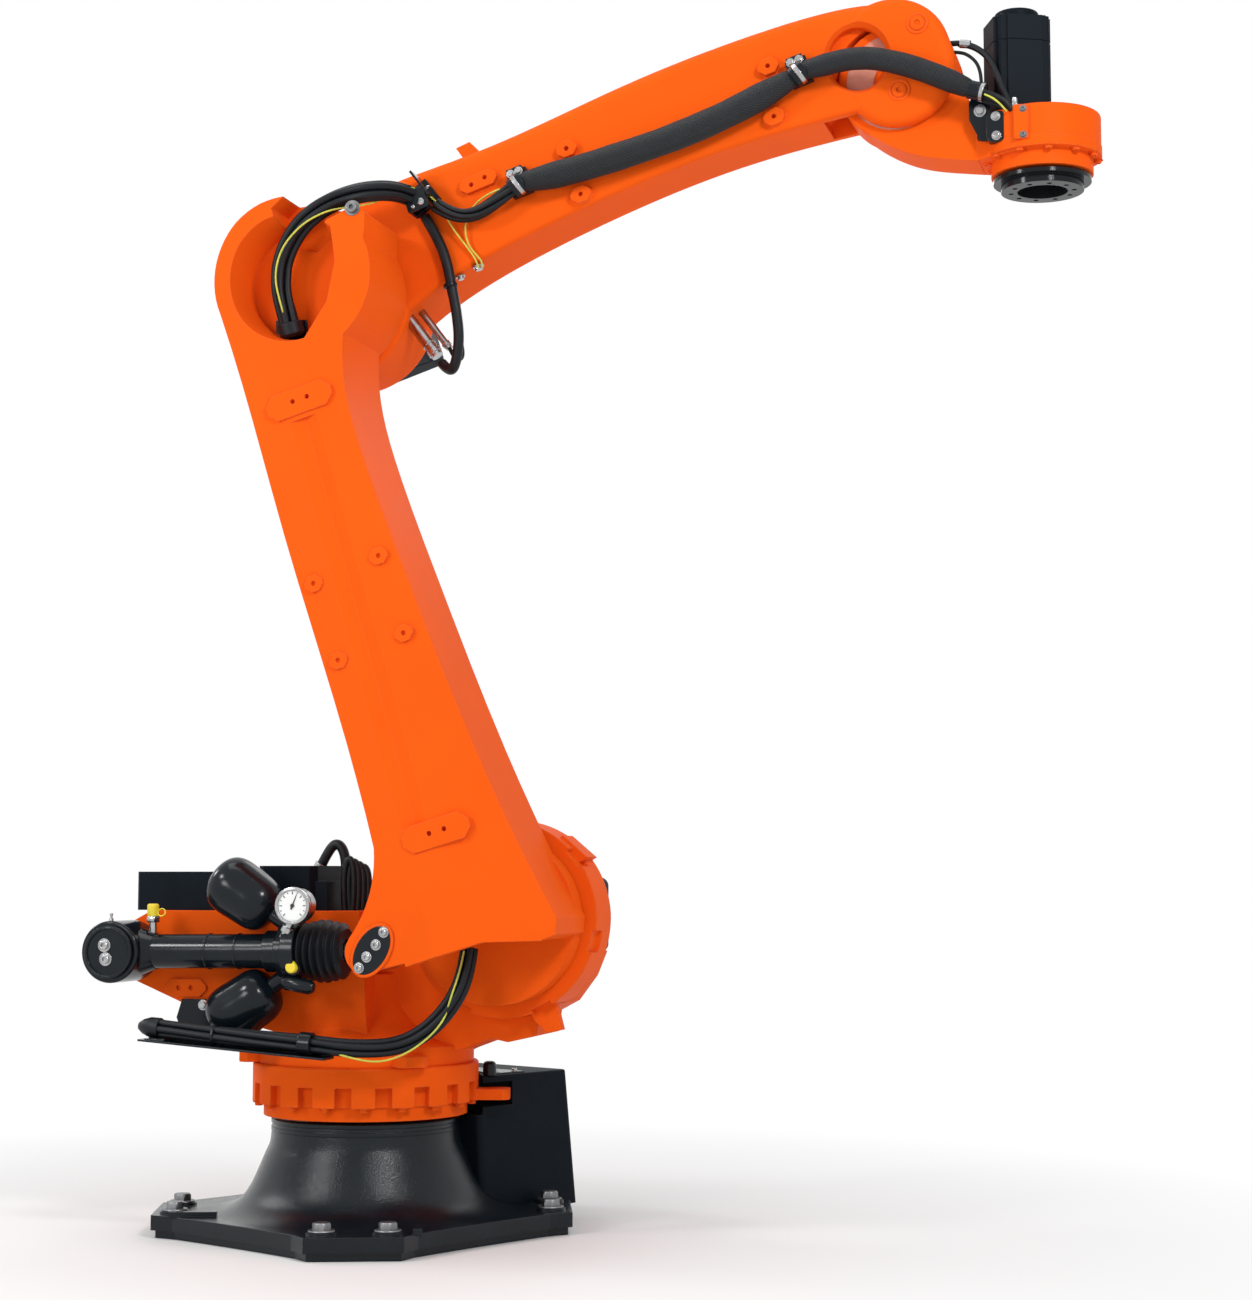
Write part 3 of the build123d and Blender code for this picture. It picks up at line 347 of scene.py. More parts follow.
def tip_plug(shape, at, radius):
    """A flush plug with a hexagon socket, in a raised ring."""
    lathe(shape, [(radius * 1.5, 0), (radius * 1.44, 2.4), (radius * 1.14, 2.4), (radius * 1.08, 0.5),
                  (radius, 0.5), (radius, 3.2), (radius * 0.92, 4), (radius * 0.42, 4, 6),
                  (radius * 0.42, 1, 6), (0, 0.8)], at, MANY_STEPS)


def fasteners(name, kind, at, body, places, material=steel):
    """Screws of one kind; places holds a point, a direction and a radius for each."""
    shape = bmesh.new()
    for point, direction, radius in places:
        kind(shape, towards(point, direction), radius)
    return add_object(name, to_mesh(name, shape, at), material, body)


def on_near(face, spots, radius):
    """Places for screws of one size on a face that looks to the near side; a spot is (x, z)."""
    return [(Vector((x, -face, z)), NEAR, radius) for x, z in spots]


def under_circle(count, start, circle, x, z, radius):
    """Places for screws of one size under a level face, on a circle round (x, 0); start in degrees."""
    places = []
    for k in range(count):
        turn = math.radians(start + 360 / count * k)
        spot = Vector((x + circle * math.cos(turn), circle * math.sin(turn), z))
        places.append((spot, DOWN, radius))
    return places


def lathe_piece(name, profile, at, material, body, steps=MANY_STEPS):
    """One turned piece."""
    shape = bmesh.new()
    lathe(shape, profile, Matrix.Identity(4), steps)
    return add_object(name, to_mesh(name, shape, at), material, body)


def band(shape, point, direction, inner, outer, width):
    """A ring round a hose, with softened edges."""
    half = width / 2
    soft = min(1.0, half / 2)
    lathe(shape, [(inner, -half), (outer - soft, -half), (outer, soft - half), (outer, half - soft),
                  (outer - soft, half), (inner, half), (inner, -half)], towards(point, direction), BAND_STEPS)


def bands(name, at, body, material, places):
    """Rings; places holds a point, a direction, inner and outer radius and width for each."""
    shape = bmesh.new()
    for place in places:
        band(shape, *place)
    return add_object(name, to_mesh(name, shape, at), material, body)


def plate(shape, outline, low, high, at=Matrix.Identity(4), bevel=1.2):
    """An outline drawn in X and Y, raised between two heights, its top edge chamfered."""
    count = len(outline)
    middle = Vector((sum(p[0] for p in outline) / count, sum(p[1] for p in outline) / count))
    rings = []
    for height, inset in ((low, 0), (high - bevel, 0), (high, bevel)):
        ring = []
        for p in outline:
            out = Vector(p) - middle
            q = middle + out * (1 - inset / max(out.length, 1e-6))
            ring.append(shape.verts.new(at @ Vector((q.x, q.y, height))))
        rings.append(ring)
    for a, b in zip(rings, rings[1:]):
        for k in range(count):
            n = (k + 1) % count
            shape.faces.new((a[k], a[n], b[n], b[k]))
    shape.faces.new(rings[-1])
    shape.faces.new(rings[0][::-1])


def plate_piece(name, outline, low, high, at, material, body):
    """One flat piece."""
    shape = bmesh.new()
    plate(shape, outline, low, high)
    return add_object(name, to_mesh(name, shape, at), material, body)


def rounded(left, right, low, high, radius, steps=5):
    """The outline of a rectangle with round corners."""
    points = []
    corners = ((right, high, 0), (left, high, 90), (left, low, 180), (right, low, 270))
    for x, y, start in corners:
        middle = Vector((x - math.copysign(radius, x - left - 1e-6),
                         y - math.copysign(radius, y - low - 1e-6)))
        for k in range(steps + 1):
            angle = math.radians(start + 90 * k / steps)
            points.append((middle.x + radius * math.cos(angle), middle.y + radius * math.sin(angle)))
    return points


def oval(middle, half_long, half_short, turn, steps=40):
    """The outline of an ellipse with its long axis turned."""
    points = []
    for k in range(steps):
        angle = 2 * math.pi * k / steps
        reach = Vector((half_long * math.cos(angle), half_short * math.sin(angle)))
        spot = Matrix.Rotation(turn, 2) @ reach
        points.append((middle[0] + spot.x, middle[1] + spot.y))
    return points


# Hoses: each follows the smooth line of a route drawn through the points of its solid
ROUTE_STEPS, ROUTE_ORDER = 8, 3
WEAVE_PER_METRE = 5.3
SLEEVE_SIDES, NECK_SHARE = 28, 0.14
WIRE_D, WIRE_SIDES = 0.004, 8


def route(points, at):
    """The points of a smooth line that has these as its control points, in metres."""
    curve = bpy.data.curves.new("route", "CURVE")
    curve.dimensions = "3D"
    curve.resolution_u = ROUTE_STEPS
    line = curve.splines.new("NURBS")
    line.points.add(len(points) - 1)
    for slot, point in zip(line.points, points):
        slot.co = (*world(at, point), 1)
    line.order_u = ROUTE_ORDER
    line.use_endpoint_u = True
    holder = bpy.data.objects.new("route", curve)
    bpy.context.scene.collection.objects.link(holder)
    mesh = bpy.data.meshes.new_from_object(holder)
    found = [v.co.copy() for v in mesh.vertices]
    bpy.data.objects.remove(holder)
    bpy.data.curves.remove(curve)
    bpy.data.meshes.remove(mesh)
    return found


def frames_along(path):
    """A steady frame at each point of a path: origin, side and upper direction."""
    found = []
    side = None
    for k, here in enumerate(path):
        ahead = (path[min(k + 1, len(path) - 1)] - path[max(k - 1, 0)]).normalized()
        if side is None:
            side = ahead.cross(UP if abs(ahead.z) < 0.9 else Vector((1, 0, 0))).normalized()
        side = (side - ahead * side.dot(ahead)).normalized()
        found.append((here, side, ahead.cross(side)))
    return found


def length_of(path):
    return sum((b - a).length for a, b in zip(path, path[1:]))


def tube(shape, path, radius, offset=(0.0, 0.0), twist=0.0, steps=12, swell=None, flat=1.0):
    """A closed tube along a path; radius and offset in metres, twist in turns over the path."""
    uv = shape.loops.layers.uv.get("UVMap") or shape.loops.layers.uv.new("UVMap")
    total = length_of(path)
    run = 0.0
    rings, runs = [], []
    for k, (here, side, upper) in enumerate(frames_along(path)):
        if k:
            run += (path[k] - path[k - 1]).length
        share = run / total
        angle = 2 * math.pi * twist * share
        c, s = math.cos(angle), math.sin(angle)
        centre = here + side * (offset[0] * c - offset[1] * s) + upper * (offset[0] * s + offset[1] * c)
        r = radius * (swell(share) if swell else 1.0)
        ring = []
        for j in range(steps):
            angle = 2 * math.pi * j / steps
            ring.append(shape.verts.new(
                centre + side * (r * flat * math.cos(angle)) + upper * (r * math.sin(angle))))
        rings.append(ring)
        runs.append(run)
    for k in range(len(rings) - 1):
        for j in range(steps):
            n = (j + 1) % steps
            face = shape.faces.new((rings[k][j], rings[k][n], rings[k + 1][n], rings[k + 1][j]))
            spots = ((j, k), (j + 1, k), (j + 1, k + 1), (j, k + 1))
            for loop, (a, b) in zip(face.loops, spots):
                loop[uv].uv = (a / steps, runs[b] * WEAVE_PER_METRE)
    shape.faces.new(rings[0][::-1])
    shape.faces.new(rings[-1])


def tube_mesh(name, shape):
    """The mesh of a shape drawn in metres along a path."""
    mesh = bpy.data.meshes.new(name)
    bmesh.ops.recalc_face_normals(shape, faces=shape.faces)
    shape.to_mesh(mesh)
    shape.free()
    mesh.shade_smooth()
    mesh.set_sharp_from_angle(angle=TUBE_SHARP_ANGLE)
    return mesh


def bundle(strands, strand_radius, ring_radius, twist=0.25):
    """Strands packed round one in the middle."""
    def make(path):
        shape = bmesh.new()
        tube(shape, path, strand_radius)
        for k in range(strands):
            angle = 2 * math.pi * k / strands
            spot = (ring_radius * math.cos(angle), ring_radius * math.sin(angle))
            tube(shape, path, strand_radius, spot, twist)
        return shape
    return make


def single(radius, steps=14):
    """One plain round hose or wire."""
    def make(path):
        shape = bmesh.new()
        tube(shape, path, radius, steps=steps)
        return shape
    return make


def sleeved(radius, neck, flat=0.82):
    """A loose sleeve, drawn in at both necks and slightly wavy between them."""
    def swell(share):
        edge = min(share, 1 - share)
        waves = 1 + 0.03 * math.sin(23 * share) + 0.02 * math.sin(57 * share + 1)
        return neck / radius + (1 - neck / radius) * min(1.0, edge / NECK_SHARE) ** 0.5 * waves

    def make(path):
        shape = bmesh.new()
        tube(shape, path, radius, steps=SLEEVE_SIDES, swell=swell, flat=flat)
        return shape
    return make


def hose(name, points, at, shape_of, material, body=None, across=None, stands_for=None):
    """A hose or wire that rides on a body or, where it crosses the joint between two, stays fixed in the shared
    frame.
    """
    path = route(points, at)
    made = add_object(name, tube_mesh(name, shape_of(path)), material, body)
    if stands_for:
        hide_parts(stands_for)
    if across:
        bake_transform(made)


def earth_wire(name, points, at, body=None, across=None):
    """A thin earth wire."""
    hose(name, points, at, single(WIRE_D / 2, WIRE_SIDES), wire, body, across)


top = LINK_LENGTH
tip = ARM_LENGTH
COLUMN_ROUTE = (
    (-345, -312, 430), (-150, -312, 412), (-10, -312, 403), (90, -300, 392), (173, -272, 396),
    (A2_REACH - 96, -258, A2_HEIGHT - 215), (A2_REACH - 47, -250, A2_HEIGHT - 156),
    (A2_REACH - 28, -240, A2_HEIGHT - 98), (A2_REACH - 26, -232, A2_HEIGHT - 55))
ELBOW_ROUTE = (
    (-46, -270, top - 88), (-42, -282, top - 40), (-38, -286, top), (-18, -288, top + 56),
    (34, -290, top + 108), (98, -288, top + 132), (161, -268, top + 140), (206, -210, top + 147),
    (233, -150, top + 146), (250, -122, top + 132))
TAIL_ROUTE = ((282, -118, 104), (306, -117, 72), (354, -117, 50), (415, -117, 62), (452, -117, 74))
SLEEVE_ROUTE = (
    (470, -117, 79), (520, -118, 68), (640, -119, 52), (0.665 * tip, -119, 40), (tip - 252, -118, 52),
    (tip - 183, -117, 66))
WRIST_ROUTE = (
    (tip - 163, -117, 70), (tip - 119, -120, 64), (tip - 67, -124, 54), (tip - 20, -128, 34),
    (tip + 36, -130, -6), (tip + 89, -124, -52), (tip + 137, -108, -96))
BRANCH_ROUTE = (
    (247, -96.4, 97), (256, -96.4, 60), (264, -96.4, 0), (256, -96.4, -72), (251, -95, -117),
    (237, -88, -177), (208, -76, -224), (188, -62, -226), (176, -52, -200))
LEAD_ROUTE = ((128, -52, 66), (150, -52, 62), (180, -60, 40), (200, -69, 8), (213, -73, -30))
LOOP_ROUTE = (
    (-90, -60, 735), (-68, -62, 778), (-46, -64, 802), (-27, -64, 782), (-24, -62, 730), (-22, -60, 655))
ACROSS_A2 = ("column", "link", COLUMN_ROUTE[4], COLUMN_ROUTE[-1])
ACROSS_A3 = ("link", "arm", ELBOW_ROUTE[3], ELBOW_ROUTE[-1])
STRANDS = 5

hose("column_hose_bundle", COLUMN_ROUTE, COLUMN, bundle(STRANDS, 0.0068, 0.0122), rubber,
     across=ACROSS_A2, stands_for="column_hoses")
hose("elbow_hose_bundle", ELBOW_ROUTE, LINK, bundle(STRANDS, 0.0078, 0.0140), rubber,
     across=ACROSS_A3, stands_for="elbow_hoses")
hose("arm_hose_bundle", TAIL_ROUTE, ARM, bundle(STRANDS, 0.0056, 0.0100), rubber, "arm",
     stands_for="arm_hose_tail")
hose("arm_sleeve", SLEEVE_ROUTE, ARM, sleeved(0.0285, 0.016), braid, "arm",
     stands_for="arm_hose_sleeve")
hose("wrist_sleeve", WRIST_ROUTE, ARM, sleeved(0.0225, 0.016, 0.9), braid,
     across=("arm", "wrist", WRIST_ROUTE[2], WRIST_ROUTE[-1]), stands_for="wrist_hose_sleeve")
hose("branch_line", BRANCH_ROUTE, ARM, single(0.011), rubber, "arm", stands_for="branch_hose")
hose("motor_lead", LEAD_ROUTE, WRIST, single(0.0065), rubber,
     across=("arm", "wrist", LEAD_ROUTE[1], LEAD_ROUTE[-1]), stands_for="motor_leads")
hose("rear_loop", LOOP_ROUTE, COLUMN, single(0.0105), rubber, "column", stands_for="rear_hose_loop")

# Base: holding-down bolts, and the lid of the connection box with its screws
FOOT_BOLT_OUT, FOOT_BOLT_SIDE, FOOT_BOLT_R = 384, 63.5, 19
LID_TOP = BOX_TOP + 3
LID_OUTLINE = (
    (-302, 165), (-302, -165), (-195, -165), (-225, -115), (-248, -50), (-253, 0), (-248, 50), (-225, 115),
    (-195, 165))
LID_SCREW_XS, LID_SCREW_YS, LID_SCREW_R = (-232, -288), (-150, 150), 6

foot_bolts = []
for k in range(4):
    turn = Matrix.Rotation(math.radians(45 + 90 * k), 4, "Z")
    for side in (-1, 1):
        spot = Vector((FOOT_BOLT_OUT, side * FOOT_BOLT_SIDE, PLATE_TOP))
        foot_bolts.append((turn @ spot, UP, FOOT_BOLT_R))
fasteners("foot_bolts", hex_screw, BASE, "base", foot_bolts, zinc)
plate_piece("box_lid", LID_OUTLINE, BOX_TOP, LID_TOP, BASE, cast_black, "base")
lid_screws = [(Vector((x, y, LID_TOP)), UP, LID_SCREW_R) for x in LID_SCREW_XS for y in LID_SCREW_YS]
fasteners("box_screws", socket_screw, BASE, "base", lid_screws)

# Turntable ring: a bolt under each tooth
RING_TEETH, RING_BOLT_CIRCLE, RING_BOLT_R = 18, 222, 9

ring_bolts = under_circle(RING_TEETH, 180 / RING_TEETH, RING_BOLT_CIRCLE, 0, RING_BOTTOM, RING_BOLT_R)
fasteners("ring_bolts", hex_screw, COLUMN, "column", ring_bolts, orange)

# Rear of the column: hose coil, tray clamp, tie and boot, fitting of the loop, bracket nuts, earth wire
COIL_D, COIL_FOOT = 0.014, 655
TRAY_HOSE_Y = COLUMN_ROUTE[0][1]
BRACKET_T, BRACKET_NUTS, BRACKET_NUT_R = 5, ((-300, 466), (-274, 466)), 8
COLUMN_WIRE = (
    (62, -314, 384), (113, -318, 372), (154, -308, 370), (194, -290, 384), (236, -276, 414),
    (268, -268, 452), (A2_REACH - 50, -268, A2_HEIGHT - 150), (A2_REACH - 34, -258, A2_HEIGHT - 98),
    (A2_REACH - 30, -248, A2_HEIGHT - 60))

for k in range(4):
    x, y = -14 + 9 * k, -76 + 5 * k
    points = ((x - 6, y, COIL_FOOT), (x - 12, y, 716), (x - 4, y, 768 - 5 * k), (x + 10, y, 764 - 6 * k),
              (x + 14, y, 706), (x + 10, y, COIL_FOOT))
    hose(f"rear_coil_{k + 1}", points, COLUMN, single(COIL_D / 2), rubber, "column")
bands("tray_clamps", COLUMN, "column", gloss_black, [
    ((-4, TRAY_HOSE_Y, 402.5), (1, 0, -0.07), 17, 23, 26),
    ((-200, TRAY_HOSE_Y, 416.5), (1, 0, -0.09), 18, 20.5, 6)])
lathe_piece("tray_boot", [(20, -26), (20.5, -24), (20, -4), (15, 10), (8, 20), (0, 23)],
            COLUMN @ towards(COLUMN_ROUTE[0], (-1, 0, 0.09)), rubber, "column")
bands("loop_fitting", COLUMN, "column", steel, [((-83, -61, 749), (22, -2, 43), 10, 14, 18)])
fasteners("bracket_nuts", hex_screw, COLUMN, "column",
          on_near(BRACKET_T - BOOM_NEAR, BRACKET_NUTS, BRACKET_NUT_R))
earth_wire("column_earth_wire", COLUMN_WIRE, COLUMN, across=ACROSS_A2)

# Counterbalance cylinder: screws, nipple and rim of the eye; cap, nut and leash of the valve; plug in its seat,
# ring and elbow on the head
EYE_SCREWS, EYE_SCREW_R = ((-8, 14), (-5, -14)), 9.5
HEAD_X = CYL_LENGTH - HEAD_END
cap_at = CYLINDER @ Matrix.Translation((VALVE_X, 0, TUBE_R + 36))
plug_at = CYLINDER @ towards((HEAD_X - 4, -44, -30), NEAR)

fasteners("eye_screws", socket_screw, CYLINDER, "cylinder", on_near(EYE_FACE, EYE_SCREWS, EYE_SCREW_R))
lathe_piece("grease_nipple", [(5, -2), (5, 5, 6), (2.6, 6), (2.6, 10), (3.6, 12), (3.2, 15), (0, 16)],
            CYLINDER @ towards((-6, -36, EYE_R), UP), steel, "cylinder", FEW_STEPS)
lathe_piece("eye_rim", [(45, -1), (46, 3), (49, 5), (53, 3), (54, -1), (45, -1)],
            CYLINDER @ towards((0, -EYE_FACE, 0), NEAR), gloss_black, "cylinder")
lathe_piece("valve_cap", [(0, 26), (9, 26), (12, 23), (12, 2), (10.6, 0)], cap_at, yellow, "cylinder")
lathe_piece("valve_nut", [(13, -12, 6), (14.5, -10, 6), (14.5, -3, 6), (12, 0), (8, 0)], cap_at, steel,
            "cylinder", FEW_STEPS)
bands("valve_leash", CYLINDER, "cylinder", yellow,
      [((VALVE_X + 19, 0, TUBE_R + 44), (0.2, -1, 0.3), 6.5, 9, 3)])
lathe_piece("head_plug", [(12.5, -14), (12.5, 8), (10.5, 11), (0, 11.5)], plug_at, yellow, "cylinder")
lathe_piece("plug_seat", [(0, -16), (17, -16), (17, 0), (15.5, 1.5), (0, 1.5)], plug_at, gloss_black,
            "cylinder", FEW_STEPS)
bands("head_ring", CYLINDER, "cylinder", gloss_black,
      [((HEAD_X - 14, 0, 0), (1, 0, 0), 50, 60, 28)])
lathe_piece("head_elbow", [(0, -15), (10, -12), (15, -4), (15, 46), (10, 55), (0, 58)],
            CYLINDER @ towards((385, -36, -62), (43, 0, -8)), gloss_black, "cylinder", FEW_STEPS)

# Pressure gauge: dial, marks and needle, bezel, nut on its pipe
GAUGE_X, GAUGE_Y, GAUGE_Z = HEAD_X + 12, -80, HEAD_R + 38
DIAL_R, DIAL_TOP, MARK_TOP, NEEDLE_TOP = 30.5, 3.2, 3.7, 4.6
DIAL_MARKS, DIAL_START, DIAL_STEP, NEEDLE_TURN = 13, 225, 22.5, 68
MARK_OUTER, MARK_HALF, LONG_MARK, SHORT_MARK = 28, 0.8, 22, 25
gauge_at = CYLINDER @ towards((GAUGE_X, GAUGE_Y, GAUGE_Z), NEAR)

lathe_piece("gauge_dial", [(0, DIAL_TOP), (DIAL_R, DIAL_TOP), (DIAL_R, 2.4)], gauge_at, white, "cylinder")
marks = bmesh.new()
for k in range(DIAL_MARKS):
    spin = Matrix.Rotation(math.radians(DIAL_START - DIAL_STEP * k), 4, "Z")
    inner = SHORT_MARK if k % 2 else LONG_MARK
    outline = ((inner, -MARK_HALF), (MARK_OUTER, -MARK_HALF), (MARK_OUTER, MARK_HALF), (inner, MARK_HALF))
    plate(marks, outline, DIAL_TOP, MARK_TOP, spin, 0.1)
needle = Matrix.Rotation(math.radians(NEEDLE_TURN), 4, "Z")
plate(marks, ((-8, -1.6), (24, -0.4), (24, 0.4), (-8, 1.6)), MARK_TOP, NEEDLE_TOP, needle, 0.2)
lathe(marks, [(4, MARK_TOP), (4, 5.4), (0, 5.6)])
add_object("gauge_marks", to_mesh("gauge_marks", marks, gauge_at), ink, "cylinder")
lathe_piece("gauge_bezel", [(DIAL_R, 2), (DIAL_R, 6), (33, 7.5), (36.6, 6), (37.2, 0), (36.6, -8), (35.2, -10)],
            gauge_at, steel, "cylinder")
bands("gauge_nut", CYLINDER, "cylinder", steel,
      [((GAUGE_X - 30, -40, 44), (0.5, 0, 0.866), 8, 13, 12)])

# Link arm: rim, dish and screws of the lever cover; plate, boot and earth wire of the elbow hoses; ear bolt
LEVER_X, LEVER_SLANT, LEVER_T = -80, math.radians(5), 5
LEVER_SCREWS, LEVER_SCREW_R = ((-168, 26), (-191, 7), (-217, -10), (-239, -26)), 7.5
DISH_MIDDLE, DISH_TURN = (-123.75, -0.75), math.radians(38)
ELBOW_PLATE = ((-80, top - 50), (-16, top - 71), (-24, top - 120), (-94, top - 104))
ELBOW_WIRE = (
    (-46, -288, top - 84), (-42, -308, top - 30), (-35, -314, top + 22), (-4, -315, top + 70),
    (47, -314, top + 99), (86, -307, top + 109), (120, -297, top + 112), (152, -262, top + 114),
    (190, -206, top + 128), (214, -160, top + 158), (222, -146, top + 170))
EAR_BOLT, EAR_LINE, EAR_BOLT_R = Vector((162, -314, top + 93)), Vector((0.09, -1, 0)), 11
lever_at = (LINK @ Matrix.Translation((LEVER_X, -LINK_NEAR, 0)) @ Matrix.Rotation(-LEVER_SLANT, 4, "Z")
            @ NEAR_FACE)

plate_piece("lever_rim", oval(DISH_MIDDLE, 60, 39, DISH_TURN), 2, 4, lever_at, orange, "link")
plate_piece("lever_dish", oval(DISH_MIDDLE, 54, 33, DISH_TURN), 3, 5, lever_at, gloss_black, "link")
slope = math.tan(LEVER_SLANT)
lever_screws = []
for x, z in LEVER_SCREWS:
    spot = Vector((x, -LINK_NEAR - LEVER_T + (LEVER_X - x) * slope, z))
    lever_screws.append((spot, Vector((-slope, -1, 0)), LEVER_SCREW_R))
fasteners("lever_screws", socket_screw, LINK, "link", lever_screws)
plate_piece("elbow_plate", ELBOW_PLATE, 244, 252, LINK @ NEAR_FACE, gloss_black, "link")
lathe_piece("elbow_boot", [(0, -14), (19, -14), (26, -8), (26, 14), (24, 16), (20, 16)],
            LINK @ towards(ELBOW_ROUTE[0], (4, -12, 48)), rubber, "link")
earth_wire("elbow_earth_wire", ELBOW_WIRE, LINK, across=ACROSS_A3)
fasteners("ear_bolt", socket_screw, LINK, "link", [(EAR_BOLT, EAR_LINE, EAR_BOLT_R)], zinc)

# Arm: strap and sleeve clamps, earth wires and terminal, clip, lead and nuts of the branch, plugs in the nose
STRAP_FRONT, STRAP_T, STRAP_SEAT = 152.0, 6, ARM_HALF + 8
STRAP_LEFT, STRAP_RIGHT, STRAP_LOW, STRAP_HIGH = 229, 276, 96, 142
LEG_T, LEG_INSET = 5, 3
CLAMPS, CLAMP_SCREW_R = ((462, 76), (tip - 173, 68)), 6.5
SLEEVE_LINE = Vector((math.cos(rise), 0, math.sin(rise)))
SLEEVE_Y = -ARM_HALF - 12 - SLEEVE_NECK_R
EARTH_WIRES = (
    ((226, -146, 166), (253, -150, 146), (276, -142, 128), (290, -112, 100), (296, -98, 50), (313, -94, 2),
     (323, -92, -30), (320, -80, -44)),
    ((424, -124, 80), (392, -116, 84), (350, -104, 74), (322, -98, 45), (316, -94, 6), (328, -93, -24),
     (334, -88, -42), (326, -78, -46)))
BRANCH_LEAD = (
    (195, -30, -165), (199, -36, -190), (212, -44, -206), (225, -52, -200), (231, -58, -171),
    (236, -62, -132), (240, -64, -60))
CONNECTOR_LINE = (0.342, 0, -0.94)
TIP_PLUGS, TIP_PLUG_R = ((1335, 83), (1258, -33)), 15

strap = bmesh.new()
plate(strap, rounded(STRAP_LEFT, STRAP_RIGHT, STRAP_LOW, STRAP_HIGH, 5), STRAP_FRONT - STRAP_T, STRAP_FRONT,
      NEAR_FACE)
leg_low, leg_high = STRAP_LOW + LEG_INSET, STRAP_HIGH - LEG_INSET
for x in (STRAP_LEFT, STRAP_RIGHT - LEG_T):
    outline = ((x, leg_low), (x + LEG_T, leg_low), (x + LEG_T, leg_high), (x, leg_high))
    plate(strap, outline, STRAP_SEAT, STRAP_FRONT - LEG_T, NEAR_FACE, 0.5)
add_object("elbow_strap", to_mesh("elbow_strap", strap, ARM), gloss_black, "arm")
fasteners("elbow_screws", round_screw, ARM, "arm", [
    (Vector((262, -STRAP_FRONT, 110)), NEAR, 8), (Vector((243, -STRAP_FRONT, 106)), NEAR, 4.5),
    (Vector((281, -132, 140)), UP, 6)])
clamp_bands, clamp_screws = [], []
for x, z in CLAMPS:
    clamp_bands.append(((x, SLEEVE_Y, z), SLEEVE_LINE, SLEEVE_NECK_R + 5, SLEEVE_NECK_R + 6.6, 10))
    clamp_screws += on_near(ARM_HALF + 24, ((x - 9, z + 30), (x + 9, z + 30)), CLAMP_SCREW_R)
bands("clamp_bands", ARM, "arm", steel, clamp_bands)
fasteners("clamp_screws", hex_screw, ARM, "arm", clamp_screws)
for k, points in enumerate(EARTH_WIRES):
    earth_wire(f"earth_wire_{k + 1}", points, ARM, "arm")
fasteners("ground_terminal", hex_screw, ARM, "arm", [
    (Vector((318, -70, -38)), DOWN, 9), (Vector((275, -72, -45)), DOWN, 7.5)])
bands("branch_clip", ARM, "arm", dark_steel,
      [((255, -96.4, -64), (-0.12, 0, -1), 11, 14.5, 9)])
hose("branch_lead", BRANCH_LEAD, ARM, single(0.0045, 10), rubber, "arm")
bands("connector_nuts", ARM, "arm", steel, [
    ((167, -50, -169), CONNECTOR_LINE, 10, 15.5, 12), ((160, -50, -150), CONNECTOR_LINE, 12, 15, 6),
    ((192, -30, -158), CONNECTOR_LINE, 6, 10, 10)])
fasteners("tip_plugs", tip_plug, ARM, "arm", on_near(ARM_HALF, TIP_PLUGS, TIP_PLUG_R), orange)

# Wrist: bare hub face behind the window; sleeve end, its tails, wire and fitting; pad screws and head band;
# bracket tab and its screws; motor leads; motor screws and bolts under the head
HUB_INNER, HUB_OUTER, HUB_FACE_T = 44, 100, 0.8
END_LINE = Vector((26, -2, -9))
TAIL_D = 0.012
TAIL_WIRE = ((186, -121, -64), (198, -122, -70), (210, -121, -79), (221, -117, -90), (228, -108, -98))
PAD_SCREWS, PAD_SCREW_R = ((261, -99), (261, -151)), 5
TAB_BACK, TAB_FACE = 66, 98
TAB_SCREWS, TAB_SCREW_R = ((205, -103), (206, -142)), 6.5
THIN_LEAD_ROUTE = (
    (118, -50, 50), (134, -50, 48), (148, -52, 40), (163, -54, 25), (171, -58, 4), (174, -66, -20),
    (176, -74, -44))
LEAD_STUB = ((72, -46, 54), (95, -49, 66), (118, -51, 69), (142, -52, 65))
LEAD_END = (LEAD_ROUTE[-1], (221, -78, -52), (230, -84, -74), (240, -90, -101))
MOTOR_SCREW_SIDES, MOTOR_SCREW_R = (-43, 43), 4.5
HEAD_BOLTS, HEAD_BOLT_START, HEAD_BOLT_CIRCLE, HEAD_BOLT_R = 12, 12.4, 110, 7.5

lathe_piece("hub_face", [(HUB_INNER, 0), (HUB_OUTER, 0), (HUB_OUTER, HUB_FACE_T), (HUB_INNER, HUB_FACE_T),
                         (HUB_INNER, 0)], WRIST @ towards((0, -HUB_HALF, 0), NEAR), bare, "wrist")
bands("sleeve_collar", WRIST, "wrist", gloss_black,
      [((166, -108, -51), END_LINE, 9, 18.5, 26)])
bands("sleeve_band", WRIST, "wrist", steel, [((182, -109, -56), END_LINE, 9, 19.5, 8)])
for k in range(3):
    y, z = -112 + 9 * k, -54 - 6 * k
    points = ((180, y, z), (198, y, z - 8), (214, y + 2, z - 16), (228, y + 5, z - 25), (238, y + 10, z - 42))
    hose(f"wrist_tail_{k + 1}", points, WRIST, single(TAIL_D / 2, 12), rubber, "wrist")
earth_wire("tail_wire", TAIL_WIRE, WRIST, "wrist")
lathe_piece("tail_fitting", [(8, -14, 6), (8, 2, 6), (6, 4), (6, 14), (4.5, 16), (0, 16)],
            WRIST @ towards((242, -96, -84), UP), steel, "wrist", FEW_STEPS)
fasteners("pad_screws", socket_screw, WRIST, "wrist", on_near(PAD_FACE, PAD_SCREWS, PAD_SCREW_R), zinc)
bands("head_band", WRIST, "wrist", orange,
      [((WRIST_REACH, 0, HEAD_6_SEAM + 11), UP, HEAD_6_R - 3, HEAD_6_R + 1.5, 22)])
plate_piece("bracket_tab", rounded(186, 224, -154, -92, 12), TAB_BACK, TAB_FACE, WRIST @ NEAR_FACE, gloss_black,
            "wrist")
